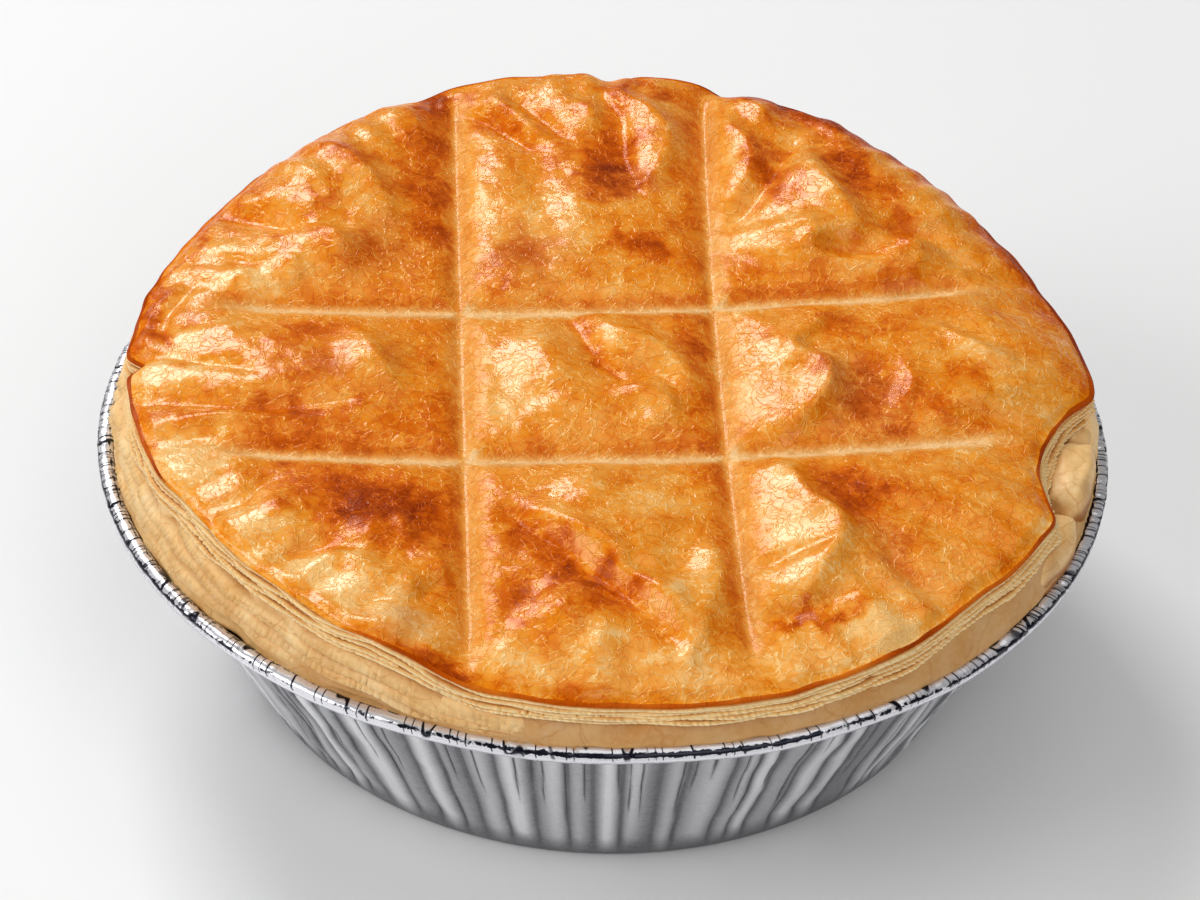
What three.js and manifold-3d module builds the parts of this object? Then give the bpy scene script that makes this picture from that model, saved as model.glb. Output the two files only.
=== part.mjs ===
// A single-serve breakfast pie in the fluted foil tin it was baked in.
//
// Millimetres, +Z up, origin in the middle of the tin's underside. The pressed grooves of the lid run
// along X and Y, so the pie is looked at from -Y.
//
// foil_tin   thin fluted dish with a rolled bead round its mouth
// pie_base   the pastry case with its filling, uncut, so one solid
// puff_lid   the puffed top crust, pressed with two grooves each way

import * as THREE from 'three';
import Module from 'manifold-3d';
import { mergeVertices } from 'three/addons/utils/BufferGeometryUtils.js';

const wasm = await Module();
wasm.setup();

// ---- the foil tin ----
const RIM_RADIUS = 61;          // to the outside of the rolled bead
const BEAD_RADIUS = 0.75;
const TIN_DEPTH = 29.1;         // underside of the base to the underside of the bead
const BASE_RADIUS = 43.9;
const BASE_SHIFT = 0.5;         // the tin leans a little, with its base this far towards +X
const HEEL = 1.2;               // rounding where the base turns up into the wall
const WALL_TOP_RADIUS = 57.9;
const FOIL = 0.5;               // stands in for the far thinner real foil
const FLUTES = 84;
const FLUTE_DEPTH = 0.45;       // each way from the middle of the wall

// ---- the gaps between neighbours ----
const TIN_GAP = 0.3;
const LID_GAP = 0.5;

// ---- the pastry case ----
const CASE_SHOULDER_RADIUS = 58.8;   // swells a little where it clears the tin
const CASE_SHOULDER_HEIGHT = 31.3;
const CASE_TOP_RADIUS = 57.2;

// ---- the lid ----
const LID_THICKNESS = 1.8;      // at its edge
const LID_SECTORS = 108;
const LID_TOLERANCE = 0.15;     // how far the finished lid may stray to save triangles
const PLATEAU = 40.4;           // height of the middle of the lid, before the pillows
const PLATEAU_TILT = 0.07;      // rise per millimetre towards +Y
const SHOULDER_START = 0.74;    // fraction of the radius where the lid starts to fall to its edge
const BACK_SHOULDER_START = 0.9;
const PILLOW_RISE = 1.9;
const PILLOW_SOFTNESS = 6;      // distance over which a pillow rises from its groove

// Height of the lid's edge and its distance from the tin's axis, at each of 24 even steps round the pie,
// from +X anticlockwise.
const EDGE_HEIGHTS = [
  37.4, 38.3, 39.3, 41.3, 43.5, 44.6, 44.8, 44.4, 43.4, 41.8, 40.7, 39.9,
  39.2, 39.1, 39, 39.2, 39.2, 35.9, 35.1, 35.1, 36, 37.1, 38.2, 37.8,
];
const EDGE_RADII = [
  58.8, 57.5, 57.4, 57.7, 57.9, 57.9, 57.9, 57.8, 57.4, 56.8, 56.4, 57,
  57.1, 56.7, 55.7, 56.6, 58.2, 58.4, 58, 58.6, 58.4, 57.7, 58.3, 58.2,
];

// ---- the four pressed grooves: where each crosses the middle, how far it turns and how far it bows ----
const GROOVES = [
  { along: 'y', offset: -17.5, slope: 0.005, bow: 0 },
  { along: 'y', offset: 13.2, slope: 0.014, bow: 0.0004 },
  { along: 'x', offset: 9.5, slope: 0.034, bow: 0.0012 },
  { along: 'x', offset: -18, slope: 0.025, bow: 0.0013 },
];
const GROOVE_WIDTH = 3;
const GROOVE_DEPTH = 1.2;
const GROOVE_REACH = 50;        // half its length
const GROOVE_STATIONS = 8;

// ---- folds that stand proud of the lid: the crest's turning points, its height and half width ----
const FOLDS = [
  { crest: [[-33, 46], [-28, 37], [-27, 30]], height: 1.2, spread: 3.5 },
  { crest: [[-44, 27], [-35, 21]], height: 1.1, spread: 3.5 },
  { crest: [[4, 55], [8, 45], [7, 34]], height: 1, spread: 3.5 },
  { crest: [[18, 46], [20, 38], [18, 28]], height: 0.9, spread: 3 },
  { crest: [[27, 38], [31, 28], [31, 22]], height: 1.4, spread: 4 },
  { crest: [[-29, 2], [-26, -6]], height: 0.9, spread: 3 },
  { crest: [[-3, 4], [3, -1], [8, -7]], height: 1.2, spread: 3.5 },
  { crest: [[27, 6], [23, 0], [26, -5], [20, -15]], height: 1.2, spread: 4 },
  { crest: [[-44, -27], [-36, -34]], height: 1, spread: 3.5 },
  { crest: [[-31, -48], [-24, -41]], height: 1.1, spread: 3.5 },
  { crest: [[-10, -30], [-1, -38], [6, -49]], height: 1.3, spread: 4 },
  { crest: [[20, -23], [25, -32], [20, -44]], height: 1.4, spread: 4.5 },
  { crest: [[39, 21], [44, 30]], height: 0.9, spread: 4 },
  { crest: [[-10, 55], [12, 54]], height: 0.8, spread: 4 },
];
const ROLLED_LIP = { crest: [[-54, 14], [-56, 9], [-55.5, 3]], height: 1.2, spread: 2.5 };

// ---- where the lid's edge has pulled in at one side, with the case torn below it ----
const NOTCH = { from: -31, to: -4, ease: 9, depth: 5.2 };     // degrees, and millimetres inwards
const PINCH = { at: 179, width: 3.5, depth: 1.7 };
const TEAR = { at: -24, length: 5, width: 1.1, floor: 32.5 };

const toRadians = THREE.MathUtils.degToRad;

// ---- building solids ----

// One closed solid through a stack of rings that all have the same number of points. The rings run
// from the first end to the last, each anticlockwise seen from the last end, and a fan closes each end.
function loft(rings) {
  const count = rings[0].length;
  const points = rings.flat();
  const indices = [];
  for (let ring = 0; ring < rings.length - 1; ring += 1) {
    for (let i = 0; i < count; i += 1) {
      const next = (i + 1) % count;
      const a = ring * count + i;
      const b = ring * count + next;
      indices.push(a, b, b + count, a, b + count, a + count);
    }
  }
  const middleOf = (ring) => ring
    .reduce((sum, point) => sum.add(point), new THREE.Vector3())
    .divideScalar(count);
  const firstMiddle = points.push(middleOf(rings[0])) - 1;
  const lastMiddle = points.push(middleOf(rings.at(-1))) - 1;
  const lastStart = (rings.length - 1) * count;
  for (let i = 0; i < count; i += 1) {
    const next = (i + 1) % count;
    indices.push(firstMiddle, next, i);
    indices.push(lastMiddle, lastStart + i, lastStart + next);
  }
  const geometry = new THREE.BufferGeometry().setFromPoints(points);
  geometry.setIndex(indices);
  return geometry;
}

function toManifold(geometry) {
  const bare = geometry.clone();
  bare.deleteAttribute('normal');
  bare.deleteAttribute('uv');
  const merged = mergeVertices(bare, 1e-4);
  const mesh = new wasm.Mesh({
    numProp: 3,
    vertProperties: new Float32Array(merged.attributes.position.array),
    triVerts: new Uint32Array(merged.index.array),
  });
  mesh.merge();
  return new wasm.Manifold(mesh);
}

function toGeometry(manifold) {
  const mesh = manifold.getMesh();
  const geometry = new THREE.BufferGeometry();
  geometry.setAttribute('position', new THREE.BufferAttribute(mesh.vertProperties, 3));
  geometry.setIndex(new THREE.BufferAttribute(mesh.triVerts, 1));
  return geometry;
}

// A point of a turned shape about the tin's axis, which leans.
const onCircle = (angle, radius, height) => new THREE.Vector3(
  radius * Math.cos(angle) + Math.max(0, BASE_SHIFT * (1 - height / TIN_DEPTH)),
  radius * Math.sin(angle),
  height,
);

// ---- flutes: crests and troughs in turn, pressed by hand, so unevenly spaced and of uneven depth ----
const FLUTE_STEP = Math.PI / FLUTES;
const fluteSides = Array.from({ length: 2 * FLUTES }, (_, i) => {
  const drift = 0.3 * Math.sin(1.9 * i) + 0.2 * Math.sin(5 * i * FLUTE_STEP);
  const strength = 0.8 + 0.2 * Math.sin(2.7 * i + 1);
  const side = i % 2 === 0 ? 1 : -1;
  return { angle: (i + drift) * FLUTE_STEP, push: side * strength * FLUTE_DEPTH };
});

// A ring that takes a share of the flutes.
const flutedRing = (radius, height, share) => fluteSides.map(
  ({ angle, push }) => onCircle(angle, radius + share * push, height),
);

// ---- the foil tin ----
function foilTin() {
  const beadMiddle = RIM_RADIUS - BEAD_RADIUS;
  const beadHeight = TIN_DEPTH + BEAD_RADIUS;
  const beadRing = (degrees) => flutedRing(
    beadMiddle + BEAD_RADIUS * Math.cos(toRadians(degrees)),
    beadHeight + BEAD_RADIUS * Math.sin(toRadians(degrees)),
    0,
  );
  return loft([
    flutedRing(BASE_RADIUS - HEEL, 0, 0),
    flutedRing(BASE_RADIUS, HEEL, 0.6),
    flutedRing(WALL_TOP_RADIUS, TIN_DEPTH - 0.4, 1),
    beadRing(-90),
    beadRing(-45),
    beadRing(0),
    beadRing(45),
    beadRing(90),
    beadRing(165),
    flutedRing(WALL_TOP_RADIUS - FOIL, TIN_DEPTH - 0.4, 1),
    flutedRing(BASE_RADIUS - FOIL, HEEL + 0.1, 0.6),
    flutedRing(BASE_RADIUS - HEEL - 0.3, FOIL, 0),
  ]);
}

// ---- the lid's outline and its height above the table ----

const smooth = (value, low, high) => THREE.MathUtils.smoothstep(value, low, high);

// The angle in degrees, brought to within half a turn of another.
function nearestTurn(degrees, other) {
  return degrees - 360 * Math.round((degrees - other) / 360);
}

// A list's value at an angle, eased from each of its steps to the next.
function readRound(list, angle) {
  const place = THREE.MathUtils.euclideanModulo(angle / (2 * Math.PI), 1) * list.length;
  const step = Math.floor(place);
  const blend = smooth(place - step, 0, 1);
  return THREE.MathUtils.lerp(list[step % list.length], list[(step + 1) % list.length], blend);
}

const edgeHeight = (angle) => readRound(EDGE_HEIGHTS, angle);

function notchDepth(angle) {
  const degrees = nearestTurn(THREE.MathUtils.radToDeg(angle), NOTCH.to);
  const opens = smooth(degrees, NOTCH.from, NOTCH.from + NOTCH.ease);
  const closes = 1 - smooth(degrees, NOTCH.to - NOTCH.ease, NOTCH.to);
  return NOTCH.depth * opens * closes;
}

function pinchDepth(angle) {
  const away = nearestTurn(THREE.MathUtils.radToDeg(angle), PINCH.at) - PINCH.at;
  return PINCH.depth * Math.exp(-((away / PINCH.width) ** 2));
}

const lidRadius = (angle) => readRound(EDGE_RADII, angle) - notchDepth(angle) - pinchDepth(angle);

// How far across the lid a groove lies at a place along it.
const grooveLine = ({ offset, slope, bow }, here) => offset + slope * here + bow * here ** 2;

// Distance from a point to the nearest groove that runs along one axis.
function toNearestGroove(x, y, along) {
  const [here, across] = along === 'y' ? [y, x] : [x, y];
  return Math.min(...GROOVES
    .filter((groove) => groove.along === along)
    .map((groove) => Math.abs(across - grooveLine(groove, here))));
}

function foldRise(x, y, { crest, height, spread }) {
  const point = new THREE.Vector3(x, y, 0);
  const turns = crest.map(([turnX, turnY]) => new THREE.Vector3(turnX, turnY, 0));
  const away = Math.min(...turns.slice(1).map((turn, i) => new THREE.Line3(turns[i], turn)
    .closestPointToPoint(point, true, new THREE.Vector3())
    .distanceTo(point)));
  return height * Math.exp(-((away / spread) ** 2));
}

// How far the lid has fallen towards its edge: 0 on the plateau, 1 at the edge. The back stays up longest.
function fall(x, y) {
  const angle = Math.atan2(y, x);
  const back = smooth(Math.sin(angle), 0.1, 0.8);
  const start = THREE.MathUtils.lerp(SHOULDER_START, BACK_SHOULDER_START, back);
  const share = Math.hypot(x, y) / lidRadius(angle);
  const over = THREE.MathUtils.clamp((share - start) / (1 - start), 0, 1);
  return over ** 2.4;
}

// The lid without pillows or folds. Its underside and the top of the case follow this too.
function plainHeight(x, y) {
  const plateau = PLATEAU + PLATEAU_TILT * y;
  return THREE.MathUtils.lerp(plateau, edgeHeight(Math.atan2(y, x)), fall(x, y));
}

function lidHeight(x, y) {
  const pillow = ['x', 'y']
    .map((along) => 1 - Math.exp(-toNearestGroove(x, y, along) / PILLOW_SOFTNESS))
    .reduce((product, rise) => product * rise, 2.2 * PILLOW_RISE);
  const puff = FOLDS.reduce((sum, fold) => sum + foldRise(x, y, fold), Math.min(pillow, PILLOW_RISE));
  return plainHeight(x, y) + puff * (1 - fall(x, y)) + foldRise(x, y, ROLLED_LIP);
}

// ---- the pastry case with its filling ----

const caseTop = (x, y) => plainHeight(x, y) - LID_THICKNESS - LID_GAP;

function pieBase() {
  const inside = FOIL + TIN_GAP;
  const topRing = (radius) => fluteSides.map(({ angle }) => {
    const edge = Math.min(radius, lidRadius(angle) - 0.4);
    const x = edge * Math.cos(angle);
    const y = edge * Math.sin(angle);
    return new THREE.Vector3(x, y, caseTop(x, y));
  });
  const body = toManifold(loft([
    flutedRing(BASE_RADIUS - HEEL - 0.6, inside, 0),
    flutedRing(BASE_RADIUS - inside - 0.1, HEEL + 0.6, 0.6),
    flutedRing(WALL_TOP_RADIUS - inside - 0.4, TIN_DEPTH - 0.8, 1),
    flutedRing(CASE_SHOULDER_RADIUS, CASE_SHOULDER_HEIGHT, 0),
    topRing(CASE_TOP_RADIUS),
    topRing(50),
    topRing(20),
  ]));
  const tear = new THREE.BoxGeometry(2 * TEAR.length, TEAR.width, 20);
  tear.translate(CASE_SHOULDER_RADIUS, 0, TEAR.floor + 10);
  tear.rotateZ(toRadians(TEAR.at));
  return toGeometry(body.subtract(toManifold(tear)));
}

// ---- the lid ----

// The tool that presses one groove: a round-bottomed bar that rises out of the crust at both ends.
function grooveTool(groove) {
  const lengthwise = groove.along === 'y';
  const rings = [];
  for (let station = 0; station <= GROOVE_STATIONS; station += 1) {
    const share = 2 * station / GROOVE_STATIONS - 1;
    const here = share * GROOVE_REACH;
    const across = grooveLine(groove, here);
    const [x, y] = lengthwise ? [across, here] : [here, across];
    const floor = plainHeight(x, y) - GROOVE_DEPTH * (1 - 1.5 * share ** 6);
    const half = GROOVE_WIDTH / 2;
    const section = [[-half, 8], [-half, 1.2], [-0.5 * half, 0.1], [0.5 * half, 0.1], [half, 1.2], [half, 8]];
    rings.push(section.map(([side, up]) => (lengthwise
      ? new THREE.Vector3(x + side, y, floor + up)
      : new THREE.Vector3(x, y + side, floor + up))));
  }
  return toManifold(loft(lengthwise ? rings.reverse() : rings));
}

function puffLid() {
  const angles = Array.from({ length: LID_SECTORS }, (_, i) => (2 * Math.PI * i) / LID_SECTORS);
  const ring = (share, height) => angles.map((angle) => {
    const radius = share * lidRadius(angle);
    const x = radius * Math.cos(angle);
    const y = radius * Math.sin(angle);
    return new THREE.Vector3(x, y, height(x, y));
  });
  const underside = (x, y) => plainHeight(x, y) - LID_THICKNESS;
  const middleOfEdge = (x, y) => plainHeight(x, y) - 0.5 * LID_THICKNESS;
  const shares = [0.99, 0.965, 0.925, 0.88, 0.82, 0.75, 0.67, 0.58, 0.49, 0.39, 0.27, 0.14];
  const crust = toManifold(loft([
    ring(0.35, underside),
    ring(0.7, underside),
    ring(0.87, underside),
    ring(0.99, underside),
    ring(1, middleOfEdge),
    ...shares.map((share) => ring(share, lidHeight)),
  ]));
  const pressed = GROOVES.reduce((solid, groove) => solid.subtract(grooveTool(groove)), crust);
  const bodies = pressed.simplify(LID_TOLERANCE).decompose();
  bodies.sort((one, other) => other.volume() - one.volume());
  return toGeometry(bodies[0]);      // a crumb left where two grooves cross is dropped
}

// ---- the pie ----

function part(name, geometry, color, roughness, metalness) {
  const material = new THREE.MeshStandardMaterial({ color, roughness, metalness });
  const mesh = new THREE.Mesh(geometry, material);
  mesh.name = name;
  return mesh;
}

const pie = new THREE.Group();
pie.name = 'breakfast_pie';
pie.add(part('foil_tin', foilTin(), 0xc9c9c6, 0.35, 1));
pie.add(part('pie_base', pieBase(), 0xe2c48d, 0.85, 0));
pie.add(part('puff_lid', puffLid(), 0xd08a3a, 0.45, 0));

export default pie;
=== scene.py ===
# %% [markdown]
# # A breakfast pie in its foil tin
#
# The pie is a thin fluted foil dish, a pale pastry case baked in it, a stack of thin puff pastry leaves,
# and on top a golden egg-glazed lid that was pressed with two grooves each way before it went in the
# oven. We build the four from the dish upwards, because each one sits on the one below.
#
# Sizes are written in millimetres, as a baker would measure them, and turned into metres when they
# reach Blender.

import math

import bpy
import numpy as np
from mathutils import Matrix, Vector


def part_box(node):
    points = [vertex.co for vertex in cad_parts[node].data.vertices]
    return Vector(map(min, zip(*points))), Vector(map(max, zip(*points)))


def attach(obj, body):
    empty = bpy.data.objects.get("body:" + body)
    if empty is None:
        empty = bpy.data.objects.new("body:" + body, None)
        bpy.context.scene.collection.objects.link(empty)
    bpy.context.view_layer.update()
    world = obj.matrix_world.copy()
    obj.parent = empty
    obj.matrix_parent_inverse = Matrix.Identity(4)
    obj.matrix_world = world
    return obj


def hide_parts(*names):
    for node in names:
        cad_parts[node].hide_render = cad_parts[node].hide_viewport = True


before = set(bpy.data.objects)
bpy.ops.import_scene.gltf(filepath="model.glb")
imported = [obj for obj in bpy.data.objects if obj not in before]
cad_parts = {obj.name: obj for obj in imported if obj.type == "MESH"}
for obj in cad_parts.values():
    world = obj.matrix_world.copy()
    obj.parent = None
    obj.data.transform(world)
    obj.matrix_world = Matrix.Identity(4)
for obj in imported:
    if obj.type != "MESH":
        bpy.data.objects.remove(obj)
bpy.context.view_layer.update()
MM = 0.001

# %% [markdown]
# ## Working by hand, and working by numbers
#
# Every piece starts as one of Blender's own primitives and is shaped with edit mode operators. Soft,
# chance shapes such as puffed pastry can't be pushed about one vertex at a time, so after that we move
# all the vertices of a mesh together with numpy. These helpers read the vertices in millimetres, write
# them back, and paint a value on each vertex for a material to read later.


# %% Helpers for meshes
def start_clean():
    """Leaves edit mode and deselects everything, so that the next operator acts only on new work."""
    if bpy.context.object and bpy.context.object.mode != "OBJECT":
        bpy.ops.object.mode_set(mode="OBJECT")
    bpy.ops.object.select_all(action="DESELECT")


def pick(piece):
    start_clean()
    piece.select_set(True)
    bpy.context.view_layer.objects.active = piece


def edit_all(piece):
    """Goes into edit mode with the whole of a piece selected."""
    pick(piece)
    bpy.ops.object.mode_set(mode="EDIT")
    bpy.ops.mesh.select_all(action="SELECT")


def face_outwards(piece):
    edit_all(piece)
    bpy.ops.mesh.normals_make_consistent(inside=False)
    bpy.ops.object.mode_set(mode="OBJECT")


def name_piece(name):
    piece = bpy.context.object
    piece.name = name
    piece.data.name = name
    return piece


def read_points(piece):
    flat = np.empty(len(piece.data.vertices) * 3, dtype=np.float32)
    piece.data.vertices.foreach_get("co", flat)
    return flat.reshape(-1, 3).astype(float) / MM


def write_points(piece, x, y, z):
    piece.data.vertices.foreach_set("co", (np.stack([x, y, z], axis=1) * MM).astype(np.float32).ravel())
    piece.data.update()


def read_round(piece):
    """How far each vertex is from the pie's axis, its angle round it, and its height."""
    x, y, height = read_points(piece).T
    return np.hypot(x, y), np.arctan2(y, x), height


def write_round(piece, radius, angle, height, shift=0):
    write_points(piece, radius * np.cos(angle) + shift, radius * np.sin(angle), height)


def paint(piece, name, values):
    attribute = piece.data.attributes.new(name, "FLOAT", "POINT")
    attribute.data.foreach_set("value", values.astype(np.float32))


def apply_all_modifiers(piece):
    pick(piece)
    for modifier in list(piece.modifiers):
        bpy.ops.object.modifier_apply(modifier=modifier.name)


def smooth_all(piece):
    pick(piece)
    bpy.ops.object.shade_smooth()


def report(piece):
    piece.data.calc_loop_triangles()
    size = [round(s / MM, 1) for s in piece.dimensions]
    print(piece.name, "measures", size, "mm and has", len(piece.data.loop_triangles), "triangles")


# %% [markdown]
# ## Chance shapes that close on themselves
#
# A pie is round, so an uneven edge has to meet itself after one turn. A sum of cosines, each with a
# whole number of ripples round the circle, always does. `wander` makes such a line, and `mottle` makes
# the same kind of unevenness over a flat patch. `soften` eases one value into the next, and `bell` and
# `between` keep a shape to one place.


# %% Helpers for uneven shapes
def soften(value, low, high):
    share = np.clip((value - low) / (high - low), 0, 1)
    return share * share * (3 - 2 * share)


def between(value, start, full, fade, end):
    """1 from full to fade, eased down to 0 at start and at end."""
    return soften(value, start, full) * (1 - soften(value, fade, end))


def bell(value, width, power=2):
    """1 where the value is 0, and next to nothing two widths away on either side."""
    return np.exp(-(np.abs(value / width) ** power))


def wander(angle, fewest, most, seed):
    """An uneven line round a circle, mostly between -1 and 1, with from fewest to most ripples in a turn."""
    chance = np.random.default_rng(seed)
    total = np.zeros_like(angle)
    for ripples in range(fewest, most + 1):
        total += chance.normal() * np.cos(ripples * angle + chance.uniform(0, 2 * np.pi))
    return total / math.sqrt(most - fewest + 1)


def mottle(x, y, size, seed):
    """Soft unevenness over a patch, mostly between -1 and 1, with humps about size apart."""
    chance = np.random.default_rng(seed)
    total = np.zeros_like(x)
    for _ in range(20):
        heading = chance.uniform(0, 2 * np.pi)
        pitch = 2 * np.pi / (size * chance.uniform(0.8, 2.2))
        waves = pitch * (x * math.cos(heading) + y * math.sin(heading))
        total += np.cos(waves + chance.uniform(0, 2 * np.pi))
    return total / math.sqrt(20)


# %% [markdown]
# ## The main sizes
#
# The dish gives the main sizes. The frame already holds it, so we measure the frame instead of writing
# the numbers again. Puff pastry never rises evenly, so the height of the lid's edge is listed for every
# hour of a 24-hour clock lying on the pie, from +X anticlockwise, and so is how far out the edge is.
# Directions are degrees from +X anticlockwise too. A dip is listed with its direction, width and depth.

# %% Main sizes
tin_low, tin_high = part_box("foil_tin")
RIM_RADIUS = tin_high.x / MM
RIM_TOP = tin_high.z / MM
RIM_FOOT = RIM_TOP - 1.5
BASE_RADIUS = 0.72 * RIM_RADIUS
BASE_SHIFT = 0.5
WALL_RADIUS = RIM_RADIUS - 2.9
EDGE_HEIGHTS = [
    37.4, 38.3, 39.3, 41.3, 43.5, 44.6, 44.8, 44.4, 43.4, 41.8, 40.7, 39.9,
    39.2, 39.1, 39.0, 39.2, 39.2, 35.9, 35.1, 35.1, 36.0, 37.1, 38.2, 37.8,
]
EDGE_RADII = [
    58.8, 57.5, 57.4, 57.7, 57.9, 57.9, 57.9, 57.8, 57.4, 56.8, 56.4, 57.0,
    57.1, 56.7, 55.7, 56.6, 58.2, 58.4, 58.0, 58.6, 58.4, 57.7, 58.3, 58.2,
]
EDGE_DIPS = [(87, 2.6, 1.5), (71.5, 2.6, 1.6), (57, 2.5, 0.7), (112, 3, 0.5), (100, 2.5, -0.4)]
print("rim radius", round(RIM_RADIUS, 1), "mm, rim top", round(RIM_TOP, 1), "mm")

# %% [markdown]
# From these lists come the outlines of the pastry, each a function of the angle round the pie: how high
# the edge of the lid stands, how deep the bay cuts into it, how far out the lid goes, and how far the case
# comes out over the rim. Four pieces share them, so they still meet when a number is changed.

# %% Outlines of the lid and the case
FRONT, BAY = 262, -17
BAY_DEPTH, BAY_CORNER, BAY_HALF_ANGLE = 5.2, 0.09, 12.8


def degrees_from(angle, centre):
    """How far each angle is past the centre, in degrees, between -180 and 180."""
    return (np.degrees(angle) - centre + 180) % 360 - 180


def by_the_clock(hours, angle):
    place = (angle / (2 * np.pi)) % 1 * len(hours)
    hour = np.floor(place).astype(int) % len(hours)
    values = np.array(hours)
    blend = soften(place - np.floor(place), 0, 1)
    return values[hour] * (1 - blend) + values[(hour + 1) % len(hours)] * blend


def edge_height(angle):
    dips = sum(deep * bell(degrees_from(angle, at), wide) for at, wide, deep in EDGE_DIPS)
    return by_the_clock(EDGE_HEIGHTS, angle) - dips


def notch_depth(angle):
    """The lid has pulled back from the case on one side, leaving a bay."""
    past = np.minimum(np.abs(degrees_from(angle, BAY)) / BAY_HALF_ANGLE, 3)
    return BAY_DEPTH * BAY_CORNER * np.logaddexp(0, (1 - past**2.3) / BAY_CORNER)


def lid_radius(angle):
    """How far out the lid's edge is, with the bay and a narrow pinch at the left."""
    waves = 0.1 * wander(angle, 12, 30, 3) + 0.06 * wander(angle, 30, 70, 4)
    pinch = 1.8 * bell(degrees_from(angle, 179.7), 1.3)
    return by_the_clock(EDGE_RADII, angle) + waves - notch_depth(angle) - pinch


def pastry_reach(angle):
    """How far out the case comes over the rolled rim: furthest at the front, least at the left."""
    past_front = degrees_from(angle, FRONT)
    return RIM_RADIUS - 1.2 - 0.95 * soften(-past_front, 5, 50) - 0.35 * soften(past_front, 30, 65)


whole_turn = np.radians(np.arange(360))
for what, sizes in (("height", edge_height(whole_turn)), ("radius", lid_radius(whole_turn))):
    print("the lid's edge has a", what, "from", round(sizes.min(), 1), "to", round(sizes.max(), 1), "mm")

# %% [markdown]
# ## Rings, drawn up like a pot
#
# The dish, the case and every pastry leaf are turned shapes. A circle extruded ring by ring, like a pot
# on a wheel, gives clean rows of quads that are easy to bend afterwards. Screw or Spin would do it too,
# but extruding keeps each row's radius and height in one plain list.


# %% Helper for turned shapes
def draw_up_rings(name, rows, segments, close_start=False, close_end=False):
    """Extrudes a circle through (radius, height) rows, and closes either end to a point."""
    start_clean()
    radius, height = rows[0]
    bpy.ops.mesh.primitive_circle_add(vertices=segments, radius=radius * MM, location=(0, 0, height * MM))
    bpy.ops.object.transform_apply(location=True)
    piece = name_piece(name)
    edit_all(piece)
    if close_start:
        bpy.ops.mesh.extrude_edges_move()
        bpy.ops.mesh.merge(type="CENTER")
        bpy.ops.mesh.select_all(action="DESELECT")
        bpy.ops.object.mode_set(mode="OBJECT")
        on_ring = read_round(piece)[0] > 0.5 * radius
        piece.data.vertices.foreach_set("select", on_ring)
        both_on = [bool(on_ring[a] and on_ring[b]) for a, b in piece.data.edge_keys]
        piece.data.edges.foreach_set("select", both_on)
        bpy.ops.object.mode_set(mode="EDIT")
    for next_radius, next_height in rows[1:]:
        bpy.ops.mesh.extrude_edges_move()
        bpy.ops.transform.translate(value=(0, 0, (next_height - height) * MM))
        growth = next_radius / radius
        bpy.ops.transform.resize(value=(growth, growth, 1), center_override=(0, 0, next_height * MM))
        radius, height = next_radius, next_height
    if close_end:
        bpy.ops.mesh.extrude_edges_move()
        bpy.ops.mesh.merge(type="CENTER")
    face_outwards(piece)
    return piece


# %% [markdown]
# ## The foil tin
#
# A pie foil is pressed from a flat disc, so the spare foil in its wall gathers into flutes, and its
# edge is rolled outwards over a small hem. One open sheet is drawn up from the middle of the base, over
# the heel, up the wall and round the roll. It gets its thickness at the end from Solidify.

# %% Draw the tin
ROLL_MIDDLE = RIM_RADIUS - 1.02
ROLL_HEIGHT = RIM_FOOT + 0.82
ROLL_HALF_WIDTH, ROLL_HALF_HEIGHT = 1.0, 0.68
FLUTES, FINE_CREASES = 92, 137
NICKS, FINE_NICKS = 172, 301

base_rows = [(14, 0.15), (28, 0.15)]
base_rows += [(BASE_RADIUS - inside, up) for inside, up in ((1.5, 0.1), (0.6, 0.3), (0.1, 0.9))]
wall_rows = [
    (BASE_RADIUS + (WALL_RADIUS - BASE_RADIUS) * share, 1.0 + (RIM_FOOT - 1.4) * share)
    for share in np.linspace(0.06, 1, 12)
]
ledge_rows = [(WALL_RADIUS + 0.6, RIM_FOOT - 0.15), (ROLL_MIDDLE - 1.08, RIM_FOOT + 0.25)]
roll_rows = [
    (ROLL_MIDDLE + ROLL_HALF_WIDTH * math.cos(turn), ROLL_HEIGHT + ROLL_HALF_HEIGHT * math.sin(turn))
    for turn in np.radians([180, 150, 122, 98, 76, 54, 32, 10, -12, -34])
]
hem_rows = [(RIM_RADIUS - inside, RIM_FOOT + up) for inside, up in ((0.1, 0.28), (0.1, 0), (0.5, 0))]
tin_rows = base_rows + wall_rows + ledge_rows + roll_rows + hem_rows
tin = draw_up_rings("foil_dish", tin_rows, 13 * FLUTES, close_start=True)
report(tin)

# %% [markdown]
# The flutes are broad and round on their crests and pinched in their creases, and no two are alike.
# Their spacing, depth and the height at which each one starts all wander, and a second, finer set of
# creases runs only part of the way up.

# %% Flute the wall
radius, angle, height = read_round(tin)
up_wall = np.clip(height / (RIM_FOOT - 0.4), 0, 1)
along = angle + 0.010 * (up_wall - 0.5) * wander(angle, 6, 24, 17)
flute_wave = np.sin((FLUTES * along + 1.6 * wander(along, 5, 40, 11)) / 2)
crease_wave = np.sin((FINE_CREASES * along + 3.0 * wander(along, 8, 60, 12)) / 2)
ridge = np.abs(flute_wave) ** 0.7
deep_crease = bell(flute_wave, 0.2)
fine_start = 0.45 + 0.3 * wander(angle, 20, 70, 21)
fine_crease = bell(crease_wave, 0.22) * soften(up_wall, fine_start, fine_start + 0.2)
foot_fade = soften(up_wall, 0.03 + 0.02 * wander(angle, 20, 60, 22), 0.2)
top_fade = 1 - 0.3 * soften(up_wall, 0.85, 1.0)
strength = np.clip(0.66 + 0.42 * wander(angle, 10, 70, 13), 0.1, 1.4)
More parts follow.
